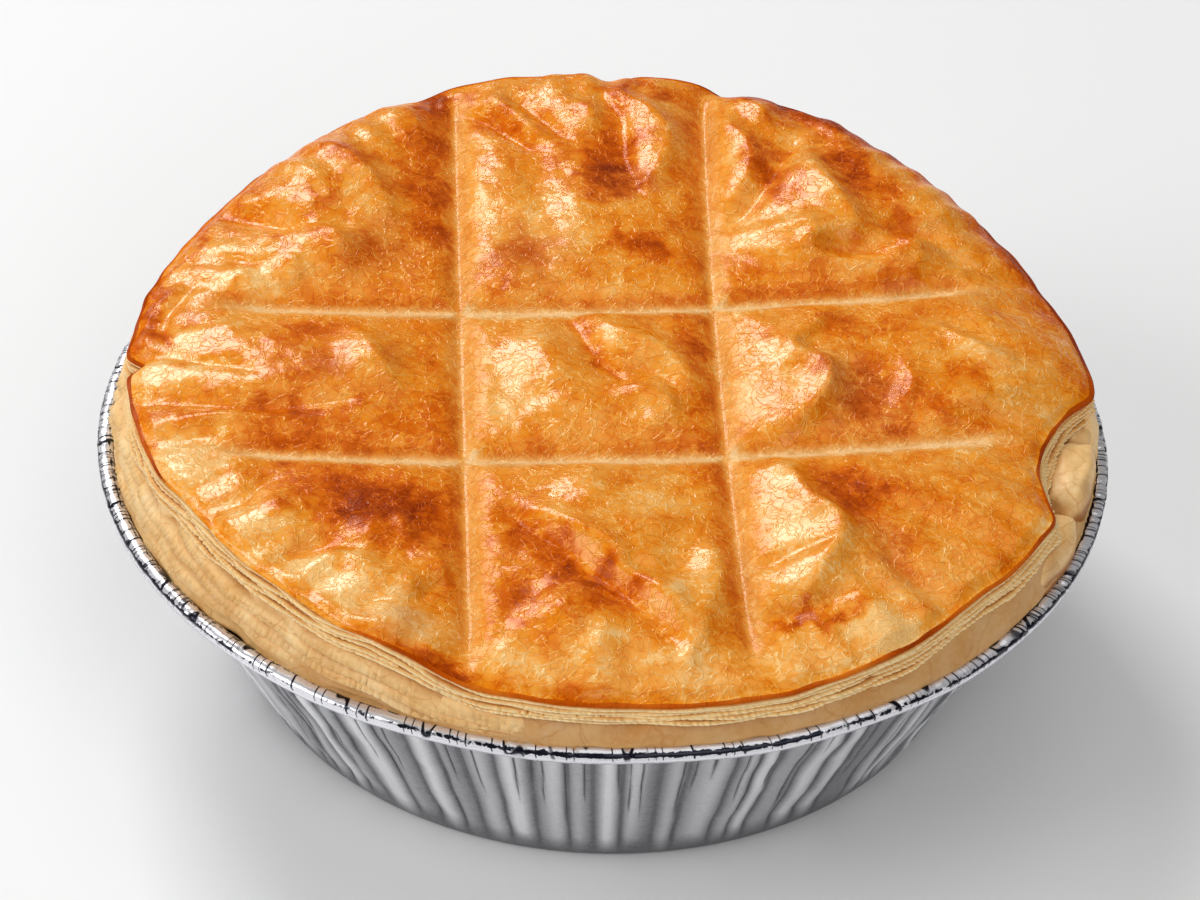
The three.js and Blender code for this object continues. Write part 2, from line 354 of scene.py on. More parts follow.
fluted = (radius > BASE_RADIUS - 1.0) & (height < RIM_FOOT - 0.3) & (radius < WALL_RADIUS + 0.3)
fluted = fluted * foot_fade
flute_push = strength * (0.62 * ridge - 0.6 - 0.16 * deep_crease) - 0.26 * fine_crease
dents = 0.14 * mottle(angle * 52, height, 6, 14) + 0.05 * mottle(angle * 52, height, 1.8, 15)
wall_push = fluted * (top_fade * flute_push + dents)

# These values let the material paint the foil lighter on the crests of the flutes, as a painted highlight,
# and darker in the deep and the fine creases, as painted shade.
paint(tin, "crease_wave", crease_wave)
paint(tin, "creased", np.clip(fluted * soften(up_wall, fine_start, fine_start + 0.15), 0, 1))
crest_highlight = ridge**1.6 * np.clip(0.75 + 0.35 * wander(angle, 12, 60, 27), 0.2, 1.1)
paint(tin, "ridge", np.clip(fluted * (crest_highlight - 0.9 * fine_crease - 0.3 * deep_crease), 0, 1))
paint(tin, "rolled", soften(height, RIM_FOOT - 0.3, RIM_FOOT + 0.1))
print("the flutes push the wall by", round(wall_push.min(), 2), "to", round(wall_push.max(), 2), "mm")

# %% [markdown]
# The rolled rim is nicked across, where the spare foil was crushed as it was rolled. The nicks are
# dents, and the same waves are painted on the vertices, so that the material can paint their bottoms
# dark as painted shade. A finer set of nicks is only painted, as thin dark lines of painted shade. The
# roll also gets a painted dark band: a painted reflection on its outer side and painted shadow along its
# inner side, next to the pastry.

# %% Crush the rim and give the foil its thickness
on_roll = height > RIM_FOOT + 0.35
nick_spacing = NICKS * angle + 3.5 * wander(angle, 10, 90, 15)
nick_strength = np.clip(1.3 + 0.5 * wander(angle, 20, 140, 16), 0.5, 1.3)
nick = bell(np.sin(nick_spacing / 2), 0.13) * nick_strength
roll_turn = (np.arctan2(height - ROLL_HEIGHT, radius - ROLL_MIDDLE) + np.pi / 2) % (2 * np.pi) - np.pi / 2
crush = 0.03 * mottle(angle * 60, roll_turn * 1.5, 2.2, 18) + 0.012 * wander(angle, 60, 200, 19)
roll_push = on_roll * (-0.2 * nick + crush)
rim_sway = (height > RIM_FOOT - 0.5) * 0.09 * wander(angle, 3, 16, 20)

sides = soften(np.abs(degrees_from(angle, 265)), 25, 60)
right_half = soften(degrees_from(angle, -50), -30, 0)
# Painted reflection and shadow: the roll is painted dark on its outer side, most at the front, and along its
# inner side next to the pastry.
rim_shade_and_reflection = 0.62 * sides * bell(roll_turn - 0.1, 0.22)
rim_shade_and_reflection += (0.33 + 0.53 * bell(degrees_from(angle, -86), 22)) * bell(roll_turn - 0.35, 0.4)
rim_shade_and_reflection += (0.5 + 0.3 * right_half) * bell(np.abs(roll_turn) - 2.3, 0.35)
# The finer nicks are only painted, as thin dark lines of painted shade.
fine_spacing = FINE_NICKS * angle + 4 * wander(angle, 20, 120, 26)
paint(tin, "nick_wave", np.sin(nick_spacing / 2 + 0.25 * roll_turn))
paint(tin, "nick_strength", on_roll * nick_strength)
paint(tin, "fine_nicks", np.sin(fine_spacing / 2 + 0.4 * roll_turn))
paint(tin, "finely_nicked", on_roll * sides * np.clip(0.6 + 0.6 * wander(angle, 30, 150, 28), 0, 1))
paint(tin, "rim_shade_and_reflection", on_roll * np.clip(rim_shade_and_reflection, 0, 1))

new_radius = radius + wall_push + roll_push * np.cos(roll_turn)
new_height = height + roll_push * np.sin(roll_turn) + rim_sway
write_round(tin, new_radius, angle, new_height, shift=BASE_SHIFT * np.clip(1 - height / RIM_FOOT, 0, 1))
thickness = tin.modifiers.new("Foil", "SOLIDIFY")
thickness.thickness = 0.12 * MM
thickness.offset = -1
apply_all_modifiers(tin)
smooth_all(tin)
report(tin)

# %% [markdown]
# ## The pastry case
#
# The case is pale, matte pastry that shows between the rolled rim and the lid. Inside it goes all the
# way down the tin, so the piece is closed and would still be right if the tin were taken off. The rows
# are close together only where the pastry shows.

# %% Draw the case
BAND_START = 60
hidden_rows = [(20, 0.9), (BASE_RADIUS - 2, 0.9), (BASE_RADIUS - 0.9, 2), (WALL_RADIUS - 1.5, RIM_FOOT - 1)]
band_rows = [(BAND_START + step, RIM_FOOT + 5 * step) for step in np.linspace(0, 1, 30)]
top_rows = [(50, 32), (30, 32.5)]
case = draw_up_rings("case_crust", hidden_rows + band_rows + top_rows, 900, True, True)
report(case)

# %% [markdown]
# The rows of the band are only counted so far, by radii that are a millimetre apart from first to last.
# Now each row goes to its true place, between a foot on the rim of the tin and a top under the lid. It
# bulges as dough does, with one soft fold low down, and it sinks where the bay is.

# %% Shape the band
radius, angle, height = read_round(case)
on_band = radius > BAND_START - 0.1
step = np.clip(np.where(on_band, radius - BAND_START, 0), 0, 1)
in_notch = soften(notch_depth(angle), 0, 3)
band_foot = RIM_FOOT + 0.6
band_top = edge_height(angle) - 1.3 - 4.2 * in_notch
top_radius = lid_radius(angle) - 0.6 + notch_depth(angle)
foot_radius = pastry_reach(angle) + 0.1 * wander(angle, 10, 50, 21)
for gap_at in (-139, -119):
    foot_radius -= 0.6 * bell(degrees_from(angle, gap_at), 2.3)
swell = np.clip(np.sin(np.pi * step), 0, 1) ** 0.7 * (1 + 0.2 * wander(angle, 3, 18, 22))
bulge = (0.7 - 0.4 * in_notch) * swell
past_fold = step - 0.24 - 0.05 * wander(angle, 2, 7, 23)
fold_lip = 0.16 * bell(past_fold, 0.05) - 0.2 * bell(past_fold + 0.075, 0.05)
lumps = 0.12 * mottle(angle * 58, height * 1.5, 4, 24) + 0.04 * mottle(angle * 58, height * 2, 1.3, 25)
band_radius = foot_radius + (top_radius - foot_radius) * step**1.3 + bulge + fold_lip + lumps
band_radius = np.minimum(band_radius, pastry_reach(angle) + 0.2 + 0.3 * step)
band_height = band_foot + (band_top - band_foot) * step + 0.1 * mottle(angle * 58, step * 8, 5, 26)
case_radius = np.where(on_band, band_radius, radius)
write_round(case, case_radius, angle, np.where(on_band, band_height, height))
# Painted shade: the case is painted darker where it faces the front and in the hollow of the bay.
faces_front = soften(np.abs(degrees_from(angle, 285)), 75, 45)
hollow = soften(notch_depth(angle), 0.5, 3) * (case_radius < 57.5)
paint(case, "light_and_toast", 0.95 - 0.19 * np.maximum(faces_front, hollow))
smooth_all(case)
report(case)

# %% [markdown]
# ## Leaves of puff pastry
#
# Under the glazed top the pastry has split into thin leaves, seen edge on. A leaf is a narrow ring:
# its inner side is buried and its outer side shows, ragged and drooping a little. `bake_leaf` makes one
# from its outline, its height and how ragged it is. Where a leaf should end, its outline sinks back
# into the case.


# %% Helper for one leaf
RING_START = 50


def bake_leaf(name, outline, level, width, droop, thick, ragged, seed, steps, segments, inner_light=0.0):
    """Thickens a ragged ring, whose outer side follows the outline and the level it is given."""
    piece = draw_up_rings(name, [(RING_START + step * width, 0) for step in steps], segments)
    radius, around, _ = read_round(piece)
    outward = (radius - RING_START) / width
    teeth = ragged * (0.6 * wander(around, 250, 620, seed) + 0.35 * wander(around, 40, 160, seed + 1))
    teeth -= ragged * 2.5 * soften(wander(around, 20, 90, seed + 3), 1.3, 1.9)
    reach = outline(around) - width * (1 - outward) + teeth * outward**3
    write_round(piece, reach, around, level(around) - droop * outward**2 + 0.7 * teeth * outward**3)
    # Painted light: low on the buried inner side, for painted shade deep between leaves, and full on the
    # outer lip, where the leaf material paints a highlight.
    paint(piece, "light_and_toast", inner_light + (1 - inner_light) * np.clip(outward, 0, 1))
    leaf_wall = piece.modifiers.new("Leaf", "SOLIDIFY")
    leaf_wall.thickness = thick * MM
    leaf_wall.offset = 0
    apply_all_modifiers(piece)
    return piece


def join_as(name, parts):
    start_clean()
    for part in parts:
        part.select_set(True)
    bpy.context.view_layer.objects.active = parts[0]
    bpy.ops.object.join()
    whole = name_piece(name)
    smooth_all(whole)
    return whole


# %% [markdown]
# The leaves right under the lid follow its edge, one close under another. Each has its own waves, so
# here and there one peeps out past its neighbours, and they spread further apart in the bay.


# %% Fine leaves right under the lid
def fine_leaf(count):
    """One of the thin leaves, counted down from the lid."""

    def outline(around):
        torn = np.clip(wander(around, 3, 34, 60 + count), -1.4, 1.4)
        front = soften(np.abs(degrees_from(around, FRONT)), 85, 60)
        in_notch = notch_depth(around) / BAY_DEPTH
        spill = (0.1 + 0.12 * count) * front + 0.22 * count * in_notch
        under_lid = lid_radius(around) - 0.3 * (1 - front) * (1 - in_notch)
        return under_lid + 0.1 + 0.1 * count + spill + 0.24 * torn

    def level(around):
        gap = 0.42 - 0.17 * bell(degrees_from(around, 268), 22)
        return edge_height(around) - 0.5 - gap * count + 0.11 * wander(around, 4, 30, 70 + count)

    ragged, seed = 0.07 + 0.04 * count, 80 + 4 * count
    return bake_leaf(f"leaf_{count}", outline, level, 3, 0.3, 0.2, ragged, seed, (0, 0.8, 1), 2300)


leaves = join_as("puff_leaves", [fine_leaf(count) for count in range(5)])
report(leaves)

# %% [markdown]
# The side of the pie stands tallest at the front left. There the case itself has opened into thick
# shingles that run slantwise down to the rim of the tin, each overlapping the next one down like the
# boards of a shed, with broken, scalloped lower edges.


# %% Thick shingles on the tall side
TALL_SIDE = 222


def shingle(count):
    def share_down(around):
        return count / 4 + degrees_from(around, TALL_SIDE) / 85

    def outline(around):
        share = share_down(around)
        low = np.clip(np.clip(share, 0, 1) + 0.2, 0, 1) ** 1.3
        shows = between(degrees_from(around, TALL_SIDE), -56, -40, 35, 43)
        shows *= between(share, -0.02, 0.12, 0.86, 1.0)
        breaks = 0.3 * np.clip(wander(around, 8, 40, 100 + count), -1, 1)
        side = (lid_radius(around) + 0.2) * (1 - low) + (pastry_reach(around) - 0.5) * low
        return side + 0.5 * np.sin(np.pi * low) + 0.8 + breaks - 3.5 * (1 - shows)

    def level(around):
        share = np.clip(share_down(around), 0, 1)
        top, foot = edge_height(around) - 1.7, RIM_FOOT + 3.2
        return top * (1 - share) + foot * share + 0.22 * wander(around, 6, 50, 110 + count)

    steps, seed = (0, 0.35, 0.7, 1), 120 + 4 * count
    return bake_leaf(f"shingle_{count}", outline, level, 2.6, 1.4, 0.5, 0.18, seed, steps, 1700, 0.72)


shingles = [shingle(count) for count in range(-1, 5)]
print(len(shingles), "shingles on the tall side")

# %% [markdown]
# Where the lid has pulled back, the case has puffed up into soft, squarish cushions. A sphere becomes
# one when its points are pushed towards the corners of a box, and it is then bent round the pie. The
# last cushion lies behind the others and fills the hollow under the lid.


# %% Puffed cushions in the bay
def puff(name, facing, radius, middle_height, half_out, half_along, half_up, seed):
    """A cushion of pastry, facing so many degrees from +X."""
    start_clean()
    bpy.ops.mesh.primitive_uv_sphere_add(segments=72, ring_count=40, radius=1)
    bpy.ops.object.transform_apply(location=True, rotation=True, scale=True)
    piece = name_piece(name)
    spots = read_points(piece) * MM
    outward, sideways, upward = (np.sign(spots) * np.abs(spots) ** 0.6).T
    dimples = 1 + 0.035 * mottle(outward * 4, sideways * 5 + 3 * upward, 3.0, seed)
    turn = math.radians(facing) + sideways * half_along * dimples / radius
    lift = middle_height + upward * half_up * dimples
    write_round(piece, radius + outward * half_out * dimples, turn, lift)
    toasted = np.exp(-((outward - 0.9) ** 2 + (sideways + 0.5) ** 2) / 0.2)
    # Painted shade on the cushion's lower half, with a toasted spot of the pastry's own browning.
    paint(piece, "light_and_toast", 0.6 + 0.4 * soften(upward, -0.4, 0.3) - 0.22 * toasted)
    return piece


puffs = [
    puff("bay_puff", -15.6, 56.7, 32.6, 2.6, 6.2, 3.3, 151),
    puff("tear_puff", -29.5, 57.3, 31.9, 2.5, 6.6, 2.9, 152),
    puff("bay_corner", -3.0, 56.8, 32.2, 1.9, 5.0, 2.6, 153),
    puff("bay_back", -16.0, 52.8, 32.8, 1.5, 12.6, 3.5, 154),
]
flakes = join_as("case_shingles", shingles + puffs)
report(flakes)

# %% [markdown]
# ## The lid
#
# The lid is a disc with an even net of quads all over it. `fill_grid` makes that inside a circle, with
# no crowded point in the middle, so folds look the same wherever they fall. The edge is then extruded
# down for the thickness of the glazed crust and closed underneath.

# %% Draw the lid
LID_NET = 290
EDGE_COUNT = 4 * LID_NET
start_clean()
bpy.ops.mesh.primitive_circle_add(vertices=EDGE_COUNT, radius=MM)
lid = name_piece("glazed_lid")
edit_all(lid)
bpy.ops.mesh.fill_grid(span=LID_NET)
face_outwards(lid)
print("the lid's net has", len(lid.data.polygons), "faces")

# %% [markdown]
# Each fold of the lid has a crest, a long gentle side and a short steep one. A fold is listed as the
# turning points of its crest, its height, and how far it spreads to the left and to the right as you
# walk along it. A negative height makes a furrow. The grooves are nearly straight. Each one runs along
# y or x, and is listed with where it crosses the middle, its slope and how much it bows.

# %% Lay out the folds
GROOVES = [
    ("y", -17.5, 0.005, 0),
    ("y", 13.2, 0.014, 0.0004),
    ("x", 9.5, 0.034, 0.0012),
    ("x", -18, 0.025, 0.0013),
]
FOLDS = [
    # back left
    ([(-36, 41), (-32, 37.5), (-29.5, 34.5), (-27.5, 31), (-25.7, 26.5)], 1.6, 2.2, 6.3),
    ([(-40, 37.5), (-37, 34), (-34.5, 31), (-33, 28.5)], 0.9, 2, 4.5),
    ([(-46, 28), (-42, 26.3), (-38, 24), (-34, 23.3), (-31, 23.2)], -1.3, 2.6, 1.6),
    ([(-36, 24), (-33.5, 21.5), (-32, 18.5), (-32, 15)], 1.3, 2.6, 6.5),
    ([(-46, 19), (-43, 17.3), (-39, 17.5)], -0.6, 1.1, 1.1),
    ([(-40, 18), (-37.6, 16), (-38, 13.5)], 0.7, 1.2, 2.6), ([(-44, 16), (-42.5, 12)], 0.5, 2, 5),
    ([(-24, 49), (-22.5, 46), (-21.5, 42.5)], 0.8, 1.8, 3), ([(-28.5, 44.5), (-27, 41)], 0.4, 1.5, 2.5),
    ([(-21, 55), (-19.5, 50)], -0.7, 1.2, 1.2),
    # back middle
    ([(-15.5, 48.5), (-12.5, 46), (-10, 43), (-7.5, 40)], -1, 1.3, 1),
    ([(-12.5, 51), (-9.5, 47), (-6.5, 42.5)], 0.7, 1.3, 1.8),
    ([(-9, 50), (-6, 46), (-3.5, 42)], -0.7, 1.2, 1), ([(-3, 50), (0, 46.5), (-0.5, 43)], 0.7, 1.4, 3.2),
    ([(2, 50.5), (4, 46.5), (4.3, 42), (4.4, 38), (5, 34), (5.5, 31)], -0.9, 1.2, 3),
    ([(3, 51.5), (6.5, 48.5), (9, 44.5), (9.8, 40.5), (8.7, 36.5), (6.5, 32)], 1.4, 2.2, 4.5),
    ([(-12, 39), (-10, 33), (-9, 27)], 0.35, 2, 3),
    # back right
    ([(15.5, 49), (17.5, 45), (19.5, 41), (20, 37), (19, 33), (17, 29)], 1.3, 2, 4.5),
    ([(26, 41), (23, 34.5), (19.5, 28.5), (17, 26)], -0.9, 1.4, 2.2),
    ([(27, 37.5), (28, 33), (30, 28), (31.5, 24), (31, 21.5)], 1.9, 2.4, 7),
    ([(25.5, 23), (26, 20), (24, 17)], 1, 2, 8),
    ([(25.5, 19), (28, 20.9), (32, 21.2), (36, 20.6)], 0.5, 1, 1.2),
    ([(28, 18.6), (33, 18.9), (37, 19.5)], -0.6, 1.2, 1.2),
    ([(26, 17.5), (31, 16.3), (35.5, 16.6), (38.8, 19.5)], 0.9, 1.5, 2.2),
    ([(39.5, 20.5), (39.3, 17), (37, 14), (34, 13)], 0.7, 1.5, 4),
    ([(40, 37), (43, 31), (44.5, 25.5)], 1, 4, 4.5),
    ([(37, 22.8), (41, 22), (45, 18.5), (51, 17)], -0.9, 1.8, 1.2),
    ([(20, 51), (22, 47.5), (23, 43.5)], 0.8, 2, 2.8), ([(25, 52), (27, 47), (30, 42)], -0.8, 2, 2),
    ([(33, 47.5), (31, 43)], 0.6, 1.5, 1.5),
    # middle left
    ([(-51.5, 14), (-55.3, 8.5), (-54.8, 2)], 0.9, 1, 0.9),
    ([(-50, 13), (-52.8, 8), (-52.6, 3)], -0.7, 0.8, 0.8),
    ([(-29.7, 2.5), (-28.3, 0), (-27.2, -3), (-26, -6.2)], 1.1, 1.6, 4.5),
    ([(-56, 0.3), (-51, -0.7), (-46.5, -2.3), (-42.5, -4)], -0.8, 1.3, 1.2),
    ([(-52, 7), (-46, 5), (-44, 2)], 0.5, 2, 3),
    ([(-54, -8), (-48, -9.2), (-42, -9.9), (-36, -9.5), (-31, -9)], -0.9, 2, 1.2),
    ([(-54, -12), (-48, -11.8), (-43, -12), (-38, -12.8)], 0.7, 1.2, 2),
    ([(-42, 3), (-38, -1), (-35, -6)], 0.4, 4, 5),
    # middle
    ([(-3.5, 5), (-2, 0.5), (0, -3.5), (2, -6.5)], -1, 1.8, 2.4),
    ([(-2, 6.5), (1.5, 2.5), (4.5, 0.5), (8, -2.5), (9.3, -6.5)], 1.3, 2.6, 2.8),
    ([(2.8, -3.8), (5.2, -4.5), (7, -5.8), (8, -8)], -0.7, 1, 1),
    ([(2, -7.2), (4.6, -8.6), (6.6, -9.8), (6, -12), (4.4, -13.6)], 1, 1.5, 2.6),
    ([(-8, 4), (-7.5, -1), (-6.5, -6)], 0.5, 3, 4), ([(-4, -8), (-2, -12)], 0.3, 2, 4),
    # middle right
    ([(27, 6.5), (25, 3.5), (23, 1), (23, -1.2), (25.5, -3.2), (26.3, -5.5), (25.5, -9), (23, -12.3),
     (19.5, -15.5)], 1.3, 1, 6),
    ([(29, -2), (29.5, -8), (28, -13)], -0.5, 2.6, 2),
    ([(41.5, 2.6), (43, 0.7), (45.5, -1.3), (48, -2.5)], 0.9, 1.6, 1.1),
    ([(42, 4.5), (45, 2.2), (49, 0.5)], -0.4, 1.2, 1.2),
    ([(35.8, -3), (36, -7), (34.5, -10), (33, -11.5)], 0.5, 0.9, 2),
    ([(46.5, 10.5), (46, 8), (46.5, 5.5)], 0.4, 1.5, 2), ([(46, 9.5), (50, 8.8), (52, 6.5)], -0.5, 1, 1),
    ([(52, -4), (47, -7), (42, -9.5), (38, -12)], 0.4, 1.5, 2),
    # front left
    ([(-44, -19), (-43, -23), (-42, -26)], 0.4, 2.5, 2.5),
    ([(-46, -28.5), (-43, -27.3), (-41, -24), (-39, -22.5)], -0.6, 1.3, 1.3),
    ([(-40, -26.5), (-38, -31), (-37.5, -34.5)], 0.8, 2.2, 5),
    ([(-40.5, -39), (-38.5, -37), (-35, -35.3), (-31, -35.5)], -1.3, 2.2, 1.4),
    ([(-33, -36.5), (-29.5, -38.5), (-28, -41.5)], 1, 2, 5), ([(-28, -31), (-28.6, -34)], 0.5, 1, 1.5),
    ([(-25, -30), (-24, -33.5)], 0.6, 1, 1.6), ([(-22, -35.8), (-20.5, -37.5), (-20, -40)], 1, 1.2, 2.8),
    ([(-26.5, -40.5), (-24, -41.8), (-25, -44)], 0.8, 1.6, 2.6),
    ([(-29.5, -46.5), (-28.2, -44.5), (-25.5, -44.8), (-23, -43)], -0.9, 1.2, 1.2),
    ([(-26.5, -46), (-24.5, -49), (-22, -51)], 0.7, 2, 3.5),
    ([(-23.5, -44.5), (-22, -42), (-20.5, -41)], -0.5, 1, 1),
    # front middle
    ([(-12, -29), (-10, -31.5), (-7, -34.5), (-3.5, -38.5), (-0.5, -42), (2.5, -46),
     (5, -49.5)], -1.3, 1.3, 2.6),
    ([(-9, -29), (-4.5, -33.3), (0.5, -37.3)], 0.9, 3.5, 1.4),
    ([(-1.5, -38), (1.5, -41), (4, -44.5), (7.5, -47.8)], 1.1, 2.6, 1.4),
    ([(-3, -19.5), (-2.8, -23), (-3.5, -27)], 0.6, 2.5, 3.5),
    ([(1, -31.5), (4, -31.8), (6.5, -31)], 0.4, 1.2, 1.2),
    ([(10.5, -35.5), (11.3, -39), (10, -43), (9, -45.5)], 1, 1.8, 4.2),
    ([(0.5, -38.5), (4, -39.5), (6.5, -38.5)], -0.5, 1.5, 1.5),
    ([(8.9, -46.5), (8, -49.5), (6, -53.5)], 0.8, 1.5, 1.8),
    ([(-8.7, -43.5), (-7.3, -46), (-5.5, -48.5)], 0.9, 2.5, 1.8),
    ([(-3.2, -50), (-4, -53.5)], 0.6, 1.5, 1.5), ([(-14, -50.5), (-15, -53.5)], 0.5, 1.2, 1.6),
    # front right
    ([(19, -20.5), (20.5, -24), (21.8, -28), (24, -31), (25, -33.5), (24.3, -36.5), (22.5, -39.5),
     (21, -42.5), (19, -44)], 1.7, 1.6, 5.5),
    ([(15.5, -38), (19.5, -36.8), (23.5, -36)], -0.5, 1.2, 1.2),
    ([(15.5, -45.5), (18.5, -45), (22, -43.5), (25.5, -42.5)], -1, 1.2, 1.8),
    ([(27.5, -29), (30, -33), (31, -38), (32.5, -42)], -0.6, 2.4, 2.2),
    ([(30, -27), (35, -30.5), (41, -35)], -0.5, 1.5, 1.5),
    ([(29, -24.5), (35, -28), (43, -33.5)], 0.5, 2.5, 1.5), ([(27, -48), (28.5, -50.5)], 0.4, 1.5, 2),
]
print(len(FOLDS), "folds and", len(GROOVES), "grooves")

# %% [markdown]
# Between the folds, whole patches of the lid lean to one side, and they catch the light like the panes
# of a greenhouse. Each is an oval: its middle, its half length and half width, how far it is turned, and
# how fast it rises to the right.

# %% Lay out the leaning patches
LEANS = [
    (-11, 33, 6, 12, 0, -0.15), (-10, 20, 5, 5, 0, -0.1), (21, 22, 7, 6, 0, 0.15), (27, 30, 4, 8, 0, 0.1),
    (36.5, 20.5, 6, 1.5, 0, 0.16), (8.3, -37.5, 3, 4, 0, 0.15), (27, -48, 4, 2.2, 35, 0.18),
    (-40, 26, 6, 3.5, -20, 0.15), (-10, -1, 4, 6, 0, 0.05), (30, -8, 5, 7, 0, -0.12),
    (-7.4, -43, 3, 2.6, 0, 0.22), (3.3, -41.5, 8, 1.8, -67, 0.2), (-3.9, -49.3, 1.6, 1.8, 0, 0.22),
    (5.8, -51.5, 1.3, 2.4, 0, 0.22), (-14, -42, 4, 6, 0, -0.15), (37, 38, 5, 8, 30, -0.1),
    (-28, 20, 5, 5, 0, -0.08),
]


def oval(x, y, middle_x, middle_y, half_length, half_width, turned, power):
    """1 in the middle of a turned oval, fading past its edge. A higher power fades faster."""
    turned = math.radians(turned)
    along = (x - middle_x) * math.cos(turned) + (y - middle_y) * math.sin(turned)
    across = (y - middle_y) * math.cos(turned) - (x - middle_x) * math.sin(turned)
    return bell(np.hypot(along / half_length, across / half_width), 1, power)


def lean_height(x, y):
    return sum(rise * (x - shape[0]) * oval(x, y, *shape, power=3) for *shape, rise in LEANS)


print(len(LEANS), "leaning patches")

# %% [markdown]
# A fold's crest is rounded into a smooth curve through its turning points. Every point of that curve
# then offers its own cross section to the surface beside it. The offers are blended, so a fold can bend
# without a kink.


# %% Turn a crest into a fold
FOLD_STRENGTH = 1.3


def rounded(corners):
    """Points about a millimetre apart on a curve that goes through all the corner points of a crest."""
    held = np.vstack([2 * corners[0] - corners[1], corners, 2 * corners[-1] - corners[-2]])
    curve = []
    for before, start, stop, after in zip(held, held[1:], held[2:], held[3:]):
        steps = max(2, round(math.dist(start, stop) / 1.1))
        t = np.linspace(0, 1, steps, endpoint=False)[:, None]
        straight = 2 * start + (stop - before) * t
        bent = (2 * before - 5 * start + 4 * stop - after) * t**2
        bent += (3 * start - before - 3 * stop + after) * t**3
        curve.append(0.5 * (straight + bent))
    return np.vstack(curve + [corners[-1:]])


def fold_height(x, y, crest_points, rise, left, right):
    """The height one fold adds. Each point of its crest shapes the surface beside it, and they blend."""
    crest = rounded(np.array(crest_points, dtype=float))
    ahead = np.gradient(crest, axis=0)
    ahead /= np.hypot(*ahead.T)[:, None]
    share = np.linspace(0, 1, len(crest))
    rises = FOLD_STRENGTH * rise * (0.4 + 0.6 * np.sin(np.pi * share) ** 0.7)
    margin = 2.6 * max(left, right) + 3
    close = np.abs(x - crest[:, 0].mean()) < np.ptp(crest[:, 0]) / 2 + margin + 3
    close &= np.abs(y - crest[:, 1].mean()) < np.ptp(crest[:, 1]) / 2 + margin + 3
    near_x, near_y = x[close], y[close]
    total, weight, nearest = np.zeros_like(near_x), np.zeros_like(near_x), np.full(near_x.shape, 99.0)
    for (crest_x, crest_y), (ahead_x, ahead_y), height in zip(crest, ahead, rises):
        along = (near_x - crest_x) * ahead_x + (near_y - crest_y) * ahead_y
        beside = (near_y - crest_y) * ahead_x - (near_x - crest_x) * ahead_y
        pull = bell(along, 2) * bell(beside, 5)
        spread = np.where(beside > 0, left, right)
        total += pull * height * bell(np.hypot(beside, 0.2), spread, 1.35)
        weight += pull
        nearest = np.minimum(nearest, np.hypot(along, beside))
    fold = np.zeros_like(x)
    fold[close] = total / np.maximum(weight, 2.4 * bell(nearest, 5))
    return fold


print("the folds are", FOLD_STRENGTH, "times as high as they are listed")

# %% [markdown]
# Now the disc is sculpted. The plateau leans up to the back and drops to the edge, each square between
# the grooves puffs up into a pillow, the folds are added, and the grooves are pressed in last, as the
# baker pressed them. Small puckers run in from the rim, where the edge was pinched to the case.


# %% Sculpt the lid
PLATEAU_HEIGHT, PLATEAU_LEAN = 40.2, 0.07


def past_groove(x, y, along):
    """How far past its nearest groove a point is, towards +X or +Y. Negative is on the other side of it."""
    nearest = np.full(x.shape, 1e9)
    for run, offset, slope, bow in GROOVES:
        if run != along:
            continue
        here, across = (y, x) if run == "y" else (x, y)
        past = across - offset - slope * here - bow * here**2
        nearest = np.where(np.abs(past) < np.abs(nearest), past, nearest)
    return nearest


def lid_surface(x, y):
    """Height of the lid over a point, how far out that is from 0 to 1, and how it lies to the grooves."""
    around = np.arctan2(y, x)
    out = np.hypot(x, y) / lid_radius(around)
    back = soften(np.sin(around), 0.35, 0.95)
    start = 0.72 * (1 - back) + 0.9 * back
    fall = np.clip((out - start) / (1 - start), 0, 1) ** 2.3
    plain = (PLATEAU_HEIGHT + PLATEAU_LEAN * y) * (1 - fall) + edge_height(around) * fall
    past_x, past_y = past_groove(x, y, "y"), past_groove(x, y, "x")
    reach_x, reach_y = 1 - soften(np.abs(x), 40, 50), 1 - soften(np.abs(y), 46, 57)
    pillow = 0.9 * (1 - reach_y * bell(past_x, 1.7, 1.6)) * (1 - reach_x * bell(past_y, 1.7, 1.6))
    pillow += 1.3 * (1 - bell(past_x, 7.5)) * (1 - bell(past_y, 7.5))
    folds = sum(fold_height(x, y, *fold) for fold in FOLDS) + lean_height(x, y)
    pressed = np.maximum(bell(past_x, 0.8) * reach_y, bell(past_y, 0.8) * reach_x)
    free = (1 - bell(past_x, 1.5) * reach_y) * (1 - bell(past_y, 1.5) * reach_x)
    inside = 1 - soften(out, 0.97, 1.0)
    puckers = 0.16 * (wander(around, 40, 90, 31) + wander(around, 14, 34, 32))
    puckers *= soften(out, 0.7, 0.94) * inside
    lumps = 0.12 * mottle(x, y, 8, 33) + 0.025 * mottle(x, y, 2.4, 34)
    relief = (pillow + (folds + lumps) * free) * (1 - 0.8 * fall) * inside + puckers
    return plain + relief - 0.3 * pressed * (1 - fall), out, (past_x, past_y, reach_x, reach_y)


share_out, around, _ = read_round(lid)
reach = share_out * lid_radius(around)
x, y = reach * np.cos(around), reach * np.sin(around)
z, out, past = lid_surface(x, y)
write_points(lid, x, y, z)
top_count = len(x)
print("lid runs from", round(z.min(), 1), "to", round(z.max(), 1), "mm")

# %% [markdown]
# The glazed crust is about a millimetre thick at its edge and turned under a little. The boundary of the
# net is found with `region_to_loop`, drawn down ring by ring, and closed to a point underneath, where
# nobody will look.

